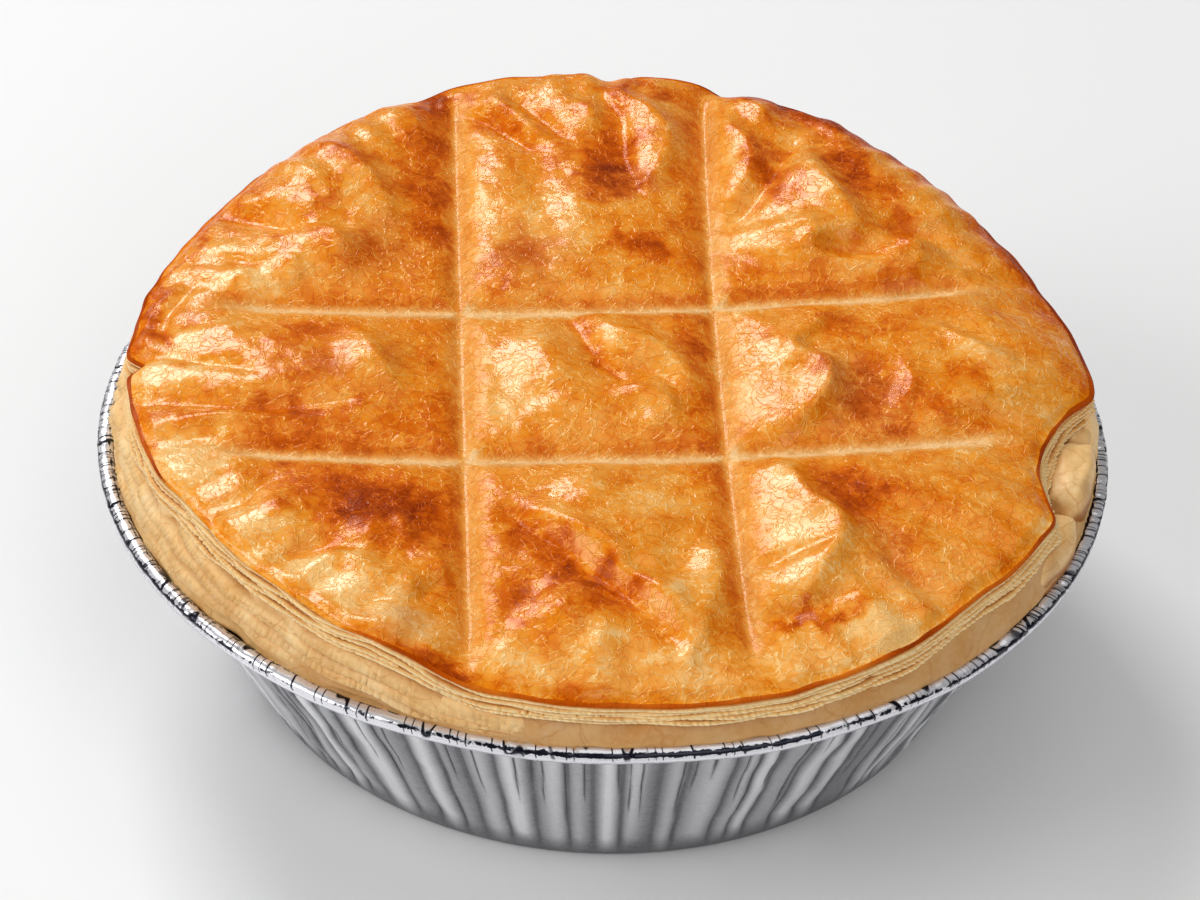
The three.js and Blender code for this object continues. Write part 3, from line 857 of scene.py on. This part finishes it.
# %% Turn the edge under and close the lid
LIP_ROWS = [(0.14, -0.16), (0.14, -0.38), (-0.05, -0.55), (-0.7, -0.6), (-6.0, -1.2)]
UNDERSIDE = 33.5
edit_all(lid)
bpy.ops.mesh.region_to_loop()
for _ in LIP_ROWS:
    bpy.ops.mesh.extrude_edges_move()
bpy.ops.mesh.extrude_edges_move()
bpy.ops.mesh.merge(type="CENTER")
bpy.ops.object.mode_set(mode="OBJECT")

radius, around, height = read_round(lid)
for row, (grow, sink) in enumerate(LIP_ROWS):
    this_row = slice(top_count + row * EDGE_COUNT, top_count + (row + 1) * EDGE_COUNT)
    radius[this_row] += grow
    height[this_row] += sink
radius[-1], height[-1] = 0, UNDERSIDE
write_round(lid, radius, around, height)
face_outwards(lid)
smooth_all(lid)
report(lid)

# %% [markdown]
# ## Where the lid browned
#
# The oven and the egg glaze browned the lid in patches. Each patch is an oval again, with how strong it
# is at the end. `bake_and_light` runs from pale to nearly burnt, and holds painted light as well: some
# brown patches add painted shade along furrows and on slopes turned away from the light, some pale ones
# add a painted highlight on slopes that catch the light, and the flanks beside the grooves get painted
# shade. `blush` marks the places that went reddish rather than golden, and `edge` is the thin, dark line
# that the oven drew along the rim of the lid.


# %% Lay out the browning
def patches(x, y, ovals):
    ragged_x = x + 1.3 * mottle(x, y, 4.5, 41) + 0.6 * mottle(x, y, 1.6, 42)
    ragged_y = y + 1.3 * mottle(x, y, 4.5, 43) + 0.6 * mottle(x, y, 1.6, 44)
    return sum(strength * oval(ragged_x, ragged_y, *shape, power=2.6) for *shape, strength in ovals)


BROWN_AND_SHADE = [
    (-22, 30, 4, 18, 0, 0.14), (-29.5, 37, 4, 2, 60, 0.2), (0, 36, 5, 9, 0, 0.12),
    (-11, 45, 6, 1.5, -45, 0.22), (-6, 46, 5, 1.2, -60, 0.2), (6.5, 53.5, 4.5, 3, 0, 0.28),
    (21.5, 37, 2.5, 8, 8, 0.15), (30, 47, 9, 4, -42, 0.2), (20, 15.5, 7, 2.5, 0, 0.2),
    (31, 18.8, 5, 1.1, 0, 0.15), (-36, -3, 9, 5, 0, 0.14), (-32, -13.5, 12, 3, 3, 0.14),
    (-21.5, -3, 2.5, 9, 0, 0.08), (-0.8, -1, 6, 1.8, -61, 0.25), (33, -8, 7, 6, 0, 0.14),
    (40, -11, 6, 3, -20, 0.12), (-30, -27, 11, 8, -20, 0.18), (-38, -37.3, 4, 1.2, 45, 0.18),
    (-8, -42, 6, 5, -30, 0.2), (-13, -32, 2.5, 8, 0, 0.1), (29, -26, 8, 4, -35, 0.2),
    (31, -36, 3, 7, 20, 0.15), (11, -20, 3, 6, 0, 0.1), (-54.6, 7, 6, 1.5, 105, 0.35),
    (-52.7, 17.3, 9, 1.1, 63, 0.25), (33.5, 33.5, 9, 1.6, -62, 0.22), (-28, -28, 10, 6, -35, 0.28),
    (-30, -29.5, 2, 5, -10, 0.14), (-23, -27.5, 4, 3, 0, 0.2), (-21, 38, 3.5, 14, 0, 0.16),
    (2.5, 42, 2.6, 10, -6, 0.3), (2, 34, 6, 3.5, 10, 0.25), (4.5, 20.5, 3, 3.5, 20, 0.45),
    (-20, 53, 4, 4, 0, 0.3), (33, 34, 3.5, 7, 20, 0.25), (24, 53, 9, 4, -25, 0.35),
    (37, 46, 9, 4.5, -45, 0.35), (23, 33, 2, 8, 25, 0.25), (-36, 3, 9, 3, 5, 0.18),
    (-40, -10.5, 15, 1.8, 0, 0.25), (-36, -16, 9, 1.7, 4, 0.22), (-20, -0.5, 1.6, 0.8, -35, 0.4),
    (11.3, 0, 1.5, 13, 2, 0.22), (32, 3.5, 7, 2, 8, 0.28), (43, -5, 2.5, 2.3, -30, 0.3),
    (-6, -38, 11, 3.2, -52, 0.42), (-13, -44, 3, 4, 0, 0.25), (-9.5, 18, 5, 4, -20, 0.2),
    (-27.5, 18.5, 4, 4.5, 0, 0.2), (29.5, -8, 4, 6, 10, 0.2), (25, -26, 4, 5.5, 30, 0.28),
    (20.5, -46.3, 6, 1.5, 12, 0.4), (-20, -56, 8, 2.4, -18, 0.4), (-38, 21, 7, 2, -20, 0.2),
    (-36, 29, 8, 2, -25, 0.25), (38, 24, 3, 9, -10, 0.2), (-47, 30, 3, 8, -35, 0.15),
    (0, 8, 9, 1.6, 5, 0.1), (-13, 14, 4, 2, 0, 0.12),
]
PALE_AND_HIGHLIGHT = [
    (-31, 30, 5, 2.5, 120, 0.15), (-39.5, 31, 3, 4, 0, 0.1), (-41, 21, 7, 3.5, -15, 0.14),
    (-24.5, 46, 3, 2, 0, 0.1), (-50, -17, 4, 3.5, 0, 0.2), (-49, -21, 4, 5, 0, 0.2),
    (-33, -42, 7, 4, -35, 0.15), (-24, -48.5, 5, 3, -20, 0.15), (2, -27, 8, 4, 0, 0.12),
    (8.7, -41, 2.2, 6, 0, 0.15), (0, -53, 14, 2.5, 0, 0.15), (20, -26, 5, 2.2, -65, 0.1),
    (21, -33, 4, 3, 0, 0.15), (20, -41, 3, 3, 0, 0.12), (29, -48, 10, 4, 30, 0.14),
    (21, 22, 6, 4, 0, 0.14), (28.5, 28, 2, 5, -10, 0.12), (41, 29, 4, 5, 0, 0.12),
    (35, 17, 5, 1.5, 10, 0.12), (17, 35, 2, 10, 0, 0.12), (19, -6, 4, 7, 0, 0.08),
    (45, -2, 4, 6, 0, 0.08), (48, -9, 6, 5, 0, 0.08), (-10, -8, 5, 5, 0, 0.12), (-10.5, 0, 4, 4, 0, 0.12),
    (4.5, -0.5, 5, 1.4, -42, 0.14), (4.5, -11, 2, 3, 0, 0.1), (-50, -3, 6, 3, 0, 0.22),
    (-48, 4, 6, 2, 0, 0.15), (-43, 13.5, 6, 2, 0, 0.25), (-41, -31, 5, 5, -40, 0.22),
    (-34, -41, 5, 3, -30, 0.2), (30, -49, 10, 4, 25, 0.1), (-6, 26, 9, 5, 10, 0.12),
    (-15.5, 27, 2, 14, 0, 0.12), (-16, -4, 2.5, 9, 0, 0.12), (0, 12, 14, 2, 3, 0.1),
    (16, -2, 2, 10, 0, 0.1), (34, -15, 10, 2, 5, 0.12), (18, -30, 3, 10, 0, 0.1),
]
BLUSH = [
    (-9, 18.5, 5.5, 4.5, -20, 0.5), (-27, 20, 5, 4.5, 0, 0.3), (29.5, -8, 3.8, 6, 15, 0.6),
    (31, -37, 3, 6, 20, 0.4), (-34, -4, 3.5, 2.8, 0, 0.3), (3, 33, 5, 4, 0, 0.4),
    (-25, -48, 5, 3, 0, 0.4), (22, -30, 4, 4, 0, 0.2),
]

print(len(BROWN_AND_SHADE), "brown patches,", len(PALE_AND_HIGHLIGHT), "pale ones and", len(BLUSH), "reddish ones")

# %% [markdown]
# The grooves brown in their own way. The wall just right of or in front of each groove's bottom is pale
# crumb. The flank across from it is darker, partly browning and partly painted shade, as it faces away
# from the light. The rim is darkest at the back right, where the lid stood highest in the oven.


# %% Paint the browning
MEAN_EDGE = 57


def groove_wall(past):
    """How far a point lies on the pale crumb wall, just right of or in front of a groove's bottom."""
    past_x, past_y, reach_x, reach_y = past
    return np.maximum(reach_y * bell(past_x - 0.7, 1.3), reach_x * bell(past_y + 0.8, 1.25, 3))


def browning_and_light(x, y, out, past, around):
    """How brown the lid is, from 0 for pale to 1 for nearly burnt, with painted shade and highlight in it."""
    past_x, past_y, reach_x, reach_y = past
    back_right = between(degrees_from(around, 38), -38, -20, 22, 40)
    front = between(degrees_from(around, 250), -16, -4, 6, 26)
    bake_and_light = 0.345 - 0.05 * soften(-y, 25, 50) + 0.05 * mottle(x, y, 9, 46) + 0.05 * mottle(x, y, 3, 47)
    # Browning patches, with painted shade in some brown ones and a painted highlight in some pale ones.
    bake_and_light += patches(x, y, BROWN_AND_SHADE) - 1.25 * patches(x, y, PALE_AND_HIGHLIGHT)
    bake_and_light += soften(out, 0.9, 1.0) * (0.04 + 0.4 * back_right + 0.1 * wander(around, 8, 40, 45))
    bake_and_light += 0.2 * front * soften(out, 0.94, 0.99)
    # Painted shade, with some browning, on the flank just left of each upright groove and just behind each
    # crosswise one.
    bake_and_light += 0.17 * reach_y * bell(past_x + 0.6, 3.2) * soften(-past_x, 0.1, 0.7)
    bake_and_light += 0.17 * reach_x * bell(past_y - 0.4, 2) * soften(past_y, 0.1, 0.6)
    pale_wall = groove_wall(past)
    walled = 0.04 + 0.22 * (np.abs(past_x) < np.abs(past_y))
    return bake_and_light * (1 - pale_wall) + walled * pale_wall


x, y, _ = read_points(lid).T
around = np.arctan2(y, x)
_, out, past = lid_surface(x, y)
under = np.arange(len(x)) >= top_count
turned_under = np.arange(len(x)) >= top_count + EDGE_COUNT
right = between(degrees_from(around, 15), -50, -35, 45, 75)
left = between(degrees_from(around, 180), -25, -12, 25, 45)
tall_side = between(degrees_from(around, 221), -28, -14, 14, 26)
in_bay = soften(notch_depth(around), 0.5, 4)
edge_width = 0.24 + 0.4 * right * (1 - 0.85 * in_bay) + 0.12 * left + 0.08 * wander(around, 20, 90, 48)
edge_line = np.where(under, 1, 1 - (1 - out) * MEAN_EDGE / edge_width) - 1.1 * tall_side
edge_dark = 0.35 + 0.4 * right * (1 - 0.7 * in_bay) + 0.2 * left + 0.2 * wander(around, 5, 30, 49)
bake_and_light = np.clip(np.where(turned_under, 0.1, browning_and_light(x, y, out, past, around)), 0, 0.9)
upright = np.abs(past[0]) < np.abs(past[1])
paint(lid, "bake_and_light", bake_and_light)
paint(lid, "pressed", groove_wall(past) * (1 - under) * np.where(upright, 0.35, 1))
paint(lid, "flank", bell(past[0] - 1.7, 1.7) * past[2] * (1 - under))
paint(lid, "blush", np.clip(patches(x, y, BLUSH), 0, 1))
paint(lid, "edge", np.where(turned_under, 0.1, edge_line))
paint(lid, "edge_dark", np.clip(edge_dark, 0, 1))
print("browning runs from", round(float(bake_and_light.min()), 2), "to", round(float(bake_and_light.max()), 2))

# %% [markdown]
# ## Materials
#
# Each finish is a Principled shader whose colour, roughness and bump are driven by noise on the piece's
# own coordinates, so it has no repeats and no seams. These helpers make a material and join its nodes,
# so that each recipe below stays short enough to read.


# %% Helpers for materials
def colour(red, green, blue):
    """A colour as a painter's 0 to 255 numbers, turned into the light values that Blender works in."""
    light = []
    for part in (red / 255, green / 255, blue / 255):
        light.append(part / 12.92 if part <= 0.04045 else ((part + 0.055) / 1.055) ** 2.4)
    return (*light, 1)


class Recipe:
    """A material with short ways to add nodes. Sizes of patterns are in millimetres."""

    def __init__(self, name):
        self.material = bpy.data.materials.new(name)
        self.material.use_nodes = True
        self.nodes = self.material.node_tree.nodes
        self.links = self.material.node_tree.links
        self.shader = self.nodes["Principled BSDF"]
        self.place = self.nodes.new("ShaderNodeTexCoord").outputs["Object"]

    def feed(self, socket, value):
        if isinstance(value, bpy.types.NodeSocket):
            self.links.new(value, socket)
        else:
            socket.default_value = value

    def add(self, kind, *values, **settings):
        """A new node, with settings such as its operation, and its first sockets fed in order."""
        node = self.nodes.new("ShaderNode" + kind)
        for name, value in settings.items():
            setattr(node, name, value)
        for socket, value in zip(node.inputs, values):
            self.feed(socket, value)
        return node

    def painted(self, name):
        return self.add("Attribute", attribute_name=name).outputs["Fac"]

    def noise(self, size, detail=3, rough=0.55, warp=0.0, place=None, output="Fac", seed=0.0):
        node = self.add("TexNoise", place or self.place, noise_dimensions="4D")
        names = ("W", "Scale", "Detail", "Roughness", "Distortion")
        for name, value in zip(names, (seed, 1 / (size * MM), detail, rough, warp)):
            node.inputs[name].default_value = value
        return node.outputs[output]

    def cells(self, size, place, feature="F1"):
        node = self.add("TexVoronoi", place, feature=feature)
        node.inputs["Scale"].default_value = 1 / (size * MM)
        return node

    def facets(self, size, place):
        """A height in metres that tilts every cell its own way, like glaze that has crazed."""
        node = self.cells(size, place)
        lean = self.add("VectorMath", node.outputs["Color"], (0.5, 0.5, 0.5), operation="SUBTRACT")
        offset = self.add("VectorMath", place, node.outputs["Position"], operation="SUBTRACT")
        tilt = self.add("VectorMath", lean.outputs[0], offset.outputs[0], operation="DOT_PRODUCT")
        return tilt.outputs["Value"]

    def strokes(self, size, width, seed):
        """Fine, nearly straight lines, where a soft noise crosses its middle value, broken here and there."""
        off_middle = self.scaled(self.noise(size, 0, 0.4, 0.4, seed=seed), 1, -0.5)
        lines = self.lines(off_middle, 0.2 * width, width)
        return self.times(lines, self.spread(self.noise(1.7, 1, 0.5, seed=seed + 5), 0.4, 0.5))

    def lines(self, wave, inner, outer):
        """1 where a wave crosses zero, and 0 where it is further off than outer."""
        return self.spread(self.maths("ABSOLUTE", wave), inner, outer, 1, 0)

    def shifted(self, size, amount):
        """The piece's coordinates pushed about by noise, to bend a pattern that is too straight."""
        push = self.noise(size, 2, output="Color")
        moved = self.add("VectorMath", push, (amount * MM,) * 3, self.place, operation="MULTIPLY_ADD")
        return moved.outputs[0]

    def maths(self, operation, *values):
        """Joins one value, or any number of them two by two, with a maths node."""
        total = values[0]
        for value in values[1:] or [0.0]:
            total = self.add("Math", total, value, operation=operation).outputs[0]
        return total

    def times(self, *values):
        return self.maths("MULTIPLY", *values)

    def plus(self, *values):
        return self.maths("ADD", *values)

    def scaled(self, value, factor, start=0.0):
        return self.add("Math", value, factor, start, operation="MULTIPLY_ADD").outputs[0]

    def spread(self, value, low, high, to_low=0.0, to_high=1.0):
        """Stretches a value from low..high to to_low..to_high, and holds it there."""
        node = self.add("MapRange", value, low, high, to_low, to_high, interpolation_type="SMOOTHSTEP")
        return node.outputs["Result"]

    def grazing(self):
        """0 where the surface faces the eye, rising to 1 where it is seen edge on."""
        return self.add("LayerWeight").outputs["Facing"]

    def ramp(self, value, *stops):
        """Colours in order, each as its place from 0 to 1 and its red, green and blue."""
        node = self.add("ValToRGB", value)
        elements = node.color_ramp.elements
        while len(elements) < len(stops):
            elements.new(0.5)
        for element, (position, *tint) in zip(elements, stops):
            element.position = position
            element.color = colour(*tint)
        return node.outputs["Color"]

    def mix(self, share, first, second):
        node = self.add("Mix", share, data_type="RGBA")
        self.feed(node.inputs[6], first)
        self.feed(node.inputs[7], second)
        return node.outputs[2]

    def bump(self, height, depth, under=None):
        """Bump whose full height is depth millimetres."""
        node = self.add("Bump")
        node.inputs["Distance"].default_value = depth * MM
        self.links.new(height, node.inputs["Height"])
        if under is not None:
            self.links.new(under, node.inputs["Normal"])
        return node.outputs["Normal"]

    def finish(self, piece, **sockets):
        for name, value in sockets.items():
            self.feed(self.shader.inputs[name.replace("_", " ")], value)
        piece.data.materials.clear()
        piece.data.materials.append(self.material)
        print(self.material.name, "has", len(self.nodes), "nodes")


# %% [markdown]
# ### The egg glaze
#
# Glazed puff pastry is three things at once: a golden crumb with darker flecks, a skin of short, fine
# wrinkles, and a thin clear gloss over it all. The flecks shift the browning a little up and down before
# it reaches the colour ramp, and the wrinkles shift it paler, as a painted highlight along them. The egg
# wash has also crazed into cells that each lean their own way, with fine cracks between them that are
# painted darker, as painted shade.

# %% Glaze colour
glaze = Recipe("egg_glaze")
pressed = glaze.painted("pressed")
bent = glaze.shifted(1.7, 2.0)
cracks = glaze.spread(glaze.cells(1.9, bent, "DISTANCE_TO_EDGE").outputs["Distance"], 0.01, 0.08, 1, 0)
stroke_sets = [glaze.strokes(size, 0.035, seed) for size, seed in ((1.9, 1), (1.6, 2), (1.3, 3))]
curls = glaze.maths("MAXIMUM", *stroke_sets)
flecks = glaze.noise(0.8, 3, 0.6, 0.8)
clouds = glaze.noise(3.6, 3, 0.55, 0.6)
bake_and_light_here = glaze.plus(
    glaze.painted("bake_and_light"),
    glaze.spread(flecks, 0.3, 0.7, -0.06, 0.06),
    glaze.spread(clouds, 0.3, 0.7, -0.07, 0.07),
)
# Painted highlight along the wrinkles and painted shade in the cracks.
bake_and_light_here = glaze.scaled(cracks, 0.08, glaze.scaled(curls, -0.15, bake_and_light_here))
golden = glaze.ramp(
    bake_and_light_here, (0, 252, 198, 120), (0.2, 247, 164, 58), (0.4, 237, 136, 16), (0.58, 218, 102, 4),
    (0.78, 184, 74, 2), (1, 142, 46, 1),
)
rosy = glaze.ramp(bake_and_light_here, (0, 240, 178, 118), (0.4, 214, 126, 60), (0.7, 178, 78, 20), (1, 112, 40, 8))
bare = glaze.ramp(bake_and_light_here, (0, 248, 204, 144), (0.2, 228, 172, 104), (0.5, 196, 130, 62))
crumb = glaze.mix(pressed, glaze.mix(glaze.painted("blush"), golden, rosy), bare)
edge_now = glaze.spread(glaze.scaled(flecks, 0.3, glaze.painted("edge")), 0.1, 0.4)
edge_dark_now = glaze.scaled(clouds, 0.5, glaze.painted("edge_dark"))
edge_tint = glaze.ramp(edge_dark_now, (0.3, 222, 118, 30), (0.65, 196, 84, 8), (1, 150, 50, 2))
crumb = glaze.mix(edge_now, crumb, edge_tint)
print("the colour of the glaze takes", len(glaze.nodes), "nodes")

# %% [markdown]
# The gloss is the shader's coat. It has a bump of its own, stronger than the crumb's, so that each
# highlight breaks up into small strokes. The egg wash soaks in where the crust is brown and was never
# brushed over the edge, so the shine fades there, on the groove walls, and where the lid is seen edge on.

# %% Glaze shine
facets = glaze.bump(glaze.facets(1.9, bent), 0.08 / MM)
skin = glaze.bump(flecks, 0.02, glaze.bump(curls, 0.045, facets))
shine = glaze.times(
    glaze.scaled(glaze.painted("flank"), -0.75, 1.0),
    glaze.spread(glaze.painted("edge"), -4.0, 0.3, 1, 0.08),
    glaze.spread(glaze.grazing(), 0.5, 0.85, 1, 0.1),
    glaze.spread(bake_and_light_here, 0.4, 0.75, 1, 0.4),
)
coat = glaze.times(
    glaze.spread(pressed, 0.2, 0.9, 1, 0.15), glaze.spread(bake_and_light_here, 0.32, 0.6, 0.58, 0.14), shine
)
glaze.finish(
    lid,
    Base_Color=crumb,
    Roughness=glaze.scaled(pressed, 0.45, glaze.spread(flecks, 0.3, 0.7, 0.15, 0.25)),
    Normal=skin,
    Specular_IOR_Level=glaze.times(shine, 0.32),
    Specular_Tint=colour(255, 218, 176),
    Coat_Weight=coat,
    Coat_Normal=glaze.bump(curls, 0.09, facets),
    Coat_Roughness=0.13,
    Coat_IOR=1.38,
)

# %% [markdown]
# ### Pale pastry
#
# The leaves and the case never saw the glaze. They are matte, cream to biscuit coloured. The leaves are
# painted darker deep down between one and the next, as painted shade, and palest on their thin outer lips,
# as a painted highlight. The case is painted darker where it faces the front, in the hollow of the bay,
# deep under each shingle and on the lower half of each cushion, as painted shade. The case has a floury,
# scaly skin, crossed by a few fine hairlines.

# %% Leaf and case recipes
leaf = Recipe("pastry_leaf")
fine = leaf.noise(0.5, 3, 0.6)
toast = leaf.scaled(fine, 0.35, leaf.times(leaf.noise(4.5, 4, 0.6, 0.3), 0.75))
leaf_tint = leaf.ramp(toast, (0.3, 255, 228, 172), (0.5, 252, 206, 130), (0.7, 232, 166, 84))
# Painted shade deep between the leaves, and a painted highlight on their outer lips.
leaf_tint = leaf.mix(leaf.spread(leaf.painted("light_and_toast"), 0.75, 0.95), colour(190, 118, 44), leaf_tint)
leaf_tint = leaf.mix(leaf.spread(leaf.painted("light_and_toast"), 0.94, 1.0), leaf_tint, colour(255, 226, 170))
leaf_rough = leaf.spread(fine, 0.3, 0.7, 0.42, 0.6)
leaf.finish(leaves, Base_Color=leaf_tint, Roughness=leaf_rough, Normal=leaf.bump(fine, 0.06))

crust = Recipe("case_pastry_skin")
scales = crust.cells(2.2, crust.shifted(2.0, 1.6)).outputs["Distance"]
floury = crust.noise(0.7, 4, 0.6)
toast = crust.scaled(floury, 0.3, crust.times(crust.noise(6.0, 3, 0.5, 0.4), 0.75))
crust_tint = crust.ramp(toast, (0.3, 254, 224, 172), (0.5, 246, 202, 136), (0.7, 222, 164, 88))
hairlines = crust.cells(3.6, crust.shifted(2.5, 1.6), "DISTANCE_TO_EDGE").outputs["Distance"]
hairlines = crust.spread(hairlines, 0.005, 0.035, 1, 0)
hairlines = crust.times(hairlines, crust.spread(crust.noise(2.4, 1, 0.5, seed=3.0), 0.42, 0.56))
crust_tint = crust.mix(crust.times(hairlines, 0.5), crust_tint, colour(214, 146, 66))
# Painted shade at the front of the case, in the bay's hollow, under each shingle and under each cushion, and
# the cushions' toasted spots.
crust_tint = crust.mix(crust.spread(crust.painted("light_and_toast"), 0.6, 0.95), colour(174, 110, 38), crust_tint)
crust_skin = crust.bump(hairlines, -0.015, crust.bump(floury, 0.05, crust.bump(scales, 0.05)))
crust_rough = crust.spread(floury, 0.3, 0.7, 0.42, 0.6)
for piece in (case, flakes):
    crust.finish(piece, Base_Color=crust_tint, Roughness=crust_rough, Normal=crust_skin)

# %% [markdown]
# ### Pressed foil
#
# Foil is bare metal, satin on the drawn wall and bright on the rolled rim. Rubbed streaks that run up
# the wall change its roughness and bump. Its colour carries painted light: the wall is lighter on the
# flute crests, as a painted highlight, and darker in its creases, as painted shade, and the rim gets
# painted dark creases where the metal folded over itself, and a painted dark band of reflection and
# shadow along the roll.

# %% Foil recipe
foil = Recipe("pressed_foil")
rubbed = foil.noise(2.5, 4, 0.6, 0.5)
grain = foil.noise(0.5, 3, 0.6, 0.6)
rolled = foil.painted("rolled")
# Painted highlight on the flute crests and painted shade in the creases of the wall.
ridge_now = foil.scaled(grain, 0.3, foil.scaled(foil.painted("ridge"), 1.0, -0.15))
wall_tint = foil.ramp(ridge_now, (0, 120, 120, 124), (0.5, 198, 198, 202), (1, 252, 252, 254))
crease_shade = foil.times(foil.lines(foil.painted("crease_wave"), 0.04, 0.16), foil.painted("creased"), 0.75)
wall_tint = foil.mix(crease_shade, wall_tint, colour(60, 60, 64))
# Painted shade in the nicks, and painted reflection and shadow along the roll, darken the rim to navy.
nick = foil.times(foil.lines(foil.painted("nick_wave"), 0.1, 0.28), foil.painted("nick_strength"))
fine_nick = foil.times(foil.lines(foil.painted("fine_nicks"), 0.2, 0.5), foil.painted("finely_nicked"))
ragged = foil.noise(0.9, 3, 0.6, 0.6, foil.shifted(1.5, 1.0))
rim_shade_and_reflection_now = foil.spread(foil.scaled(ragged, 1.3, foil.painted("rim_shade_and_reflection")), 1.0, 1.12)
dark = foil.maths("MAXIMUM", nick, fine_nick, rim_shade_and_reflection_now)
foil_tint = foil.mix(dark, foil.mix(rolled, wall_tint, colour(236, 236, 242)), colour(16, 18, 34))
wall_only = foil.scaled(rolled, -0.85, 1.0)
foil_skin = foil.bump(foil.times(grain, wall_only), 0.04, foil.bump(foil.times(rubbed, wall_only), 0.2))
foil.finish(
    tin,
    Base_Color=foil_tint,
    Metallic=foil.scaled(rolled, -0.45, 1.0),
    Roughness=foil.scaled(rolled, -0.16, foil.spread(rubbed, 0.3, 0.7, 0.34, 0.46)),
    Normal=foil_skin,
)

# %% [markdown]
# ## Hand the pieces over
#
# Each piece says which CAD node it stands for, what it is made of, and which body it rides on. The pie
# has no moving parts, so everything rides on the root.

for piece, node, made_of in (
    (tin, "foil_tin", "foil"),
    (case, "pie_base", "case_pastry"),
    (flakes, "pie_base", "case_pastry"),
    (leaves, "puff_lid", "lid_pastry"),
    (lid, "puff_lid", "lid_pastry"),
):
    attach(piece, "root")
    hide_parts(node)
    print(piece.name, "stands for", node, "and is", made_of)

# %% [markdown]
# ## The studio
#
# The pie stands on a plain pale table. A small, soft window of light behind its left shoulder draws the
# highlights on the glaze. Broader, gentler lights from the left and from the front, a wide one overhead
# and even surroundings fill the shadows. Lights and camera all face one point in the pie, so one helper
# places them by how far round and how high they stand.

# %% Table and camera
start_clean()
bpy.ops.mesh.primitive_plane_add(size=6, location=(0, 0, 0))
table = name_piece("table_top")
plain = Recipe("table_paint")
plain.finish(table, Base_Color=colour(244, 244, 244), Roughness=0.6)

AIM = (-0.37, 0.03, 26.8)


def place_looking(thing, turned, lifted, distance, roll=0.0):
    """Puts a light or a camera so far from the aim, turned from the front, and has it look back."""
    turned, lifted, roll = (math.radians(part) for part in (turned, lifted, roll))
    thing.matrix_world = (
        Matrix.Translation([part * MM for part in AIM])
        @ Matrix.Rotation(turned, 4, "Z")
        @ Matrix.Rotation(math.pi / 2 - lifted, 4, "X")
        @ Matrix.Translation((0, 0, distance * MM))
        @ Matrix.Rotation(roll, 4, "Z")
    )


start_clean()
bpy.ops.object.camera_add()
camera = bpy.context.object
camera.name = "table_camera"
camera.data.lens = 124.9
camera.data.sensor_width = 36
camera.data.clip_end = 20
place_looking(camera, turned=-4.3, lifted=36.53, distance=506.3, roll=2.37)
bpy.context.scene.camera = camera


# %% Lights and surroundings
def soft_light(name, turned, lifted, distance, size, power):
    start_clean()
    bpy.ops.object.light_add(type="AREA")
    light = bpy.context.object
    light.name = name
    light.data.size = size
    light.data.energy = power
    place_looking(light, turned, lifted, distance)
    print(name, "is a", size, "m square of", power, "watts")


soft_light("window_light", 205, 42, 1300, 0.52, 8.2)
soft_light("side_light", 285, 30, 1300, 0.8, 7.4)
soft_light("front_light", 20, 40, 1500, 1.0, 7.0)
soft_light("ceiling_light", 120, 80, 1500, 1.2, 3.8)

world = bpy.data.worlds.new("studio")
bpy.context.scene.world = world
world.use_nodes = True
surround = world.node_tree.nodes["Background"]
surround.inputs["Color"].default_value = (1, 1, 1, 1)
surround.inputs["Strength"].default_value = 0.16
bpy.context.scene.view_settings.view_transform = "Standard"
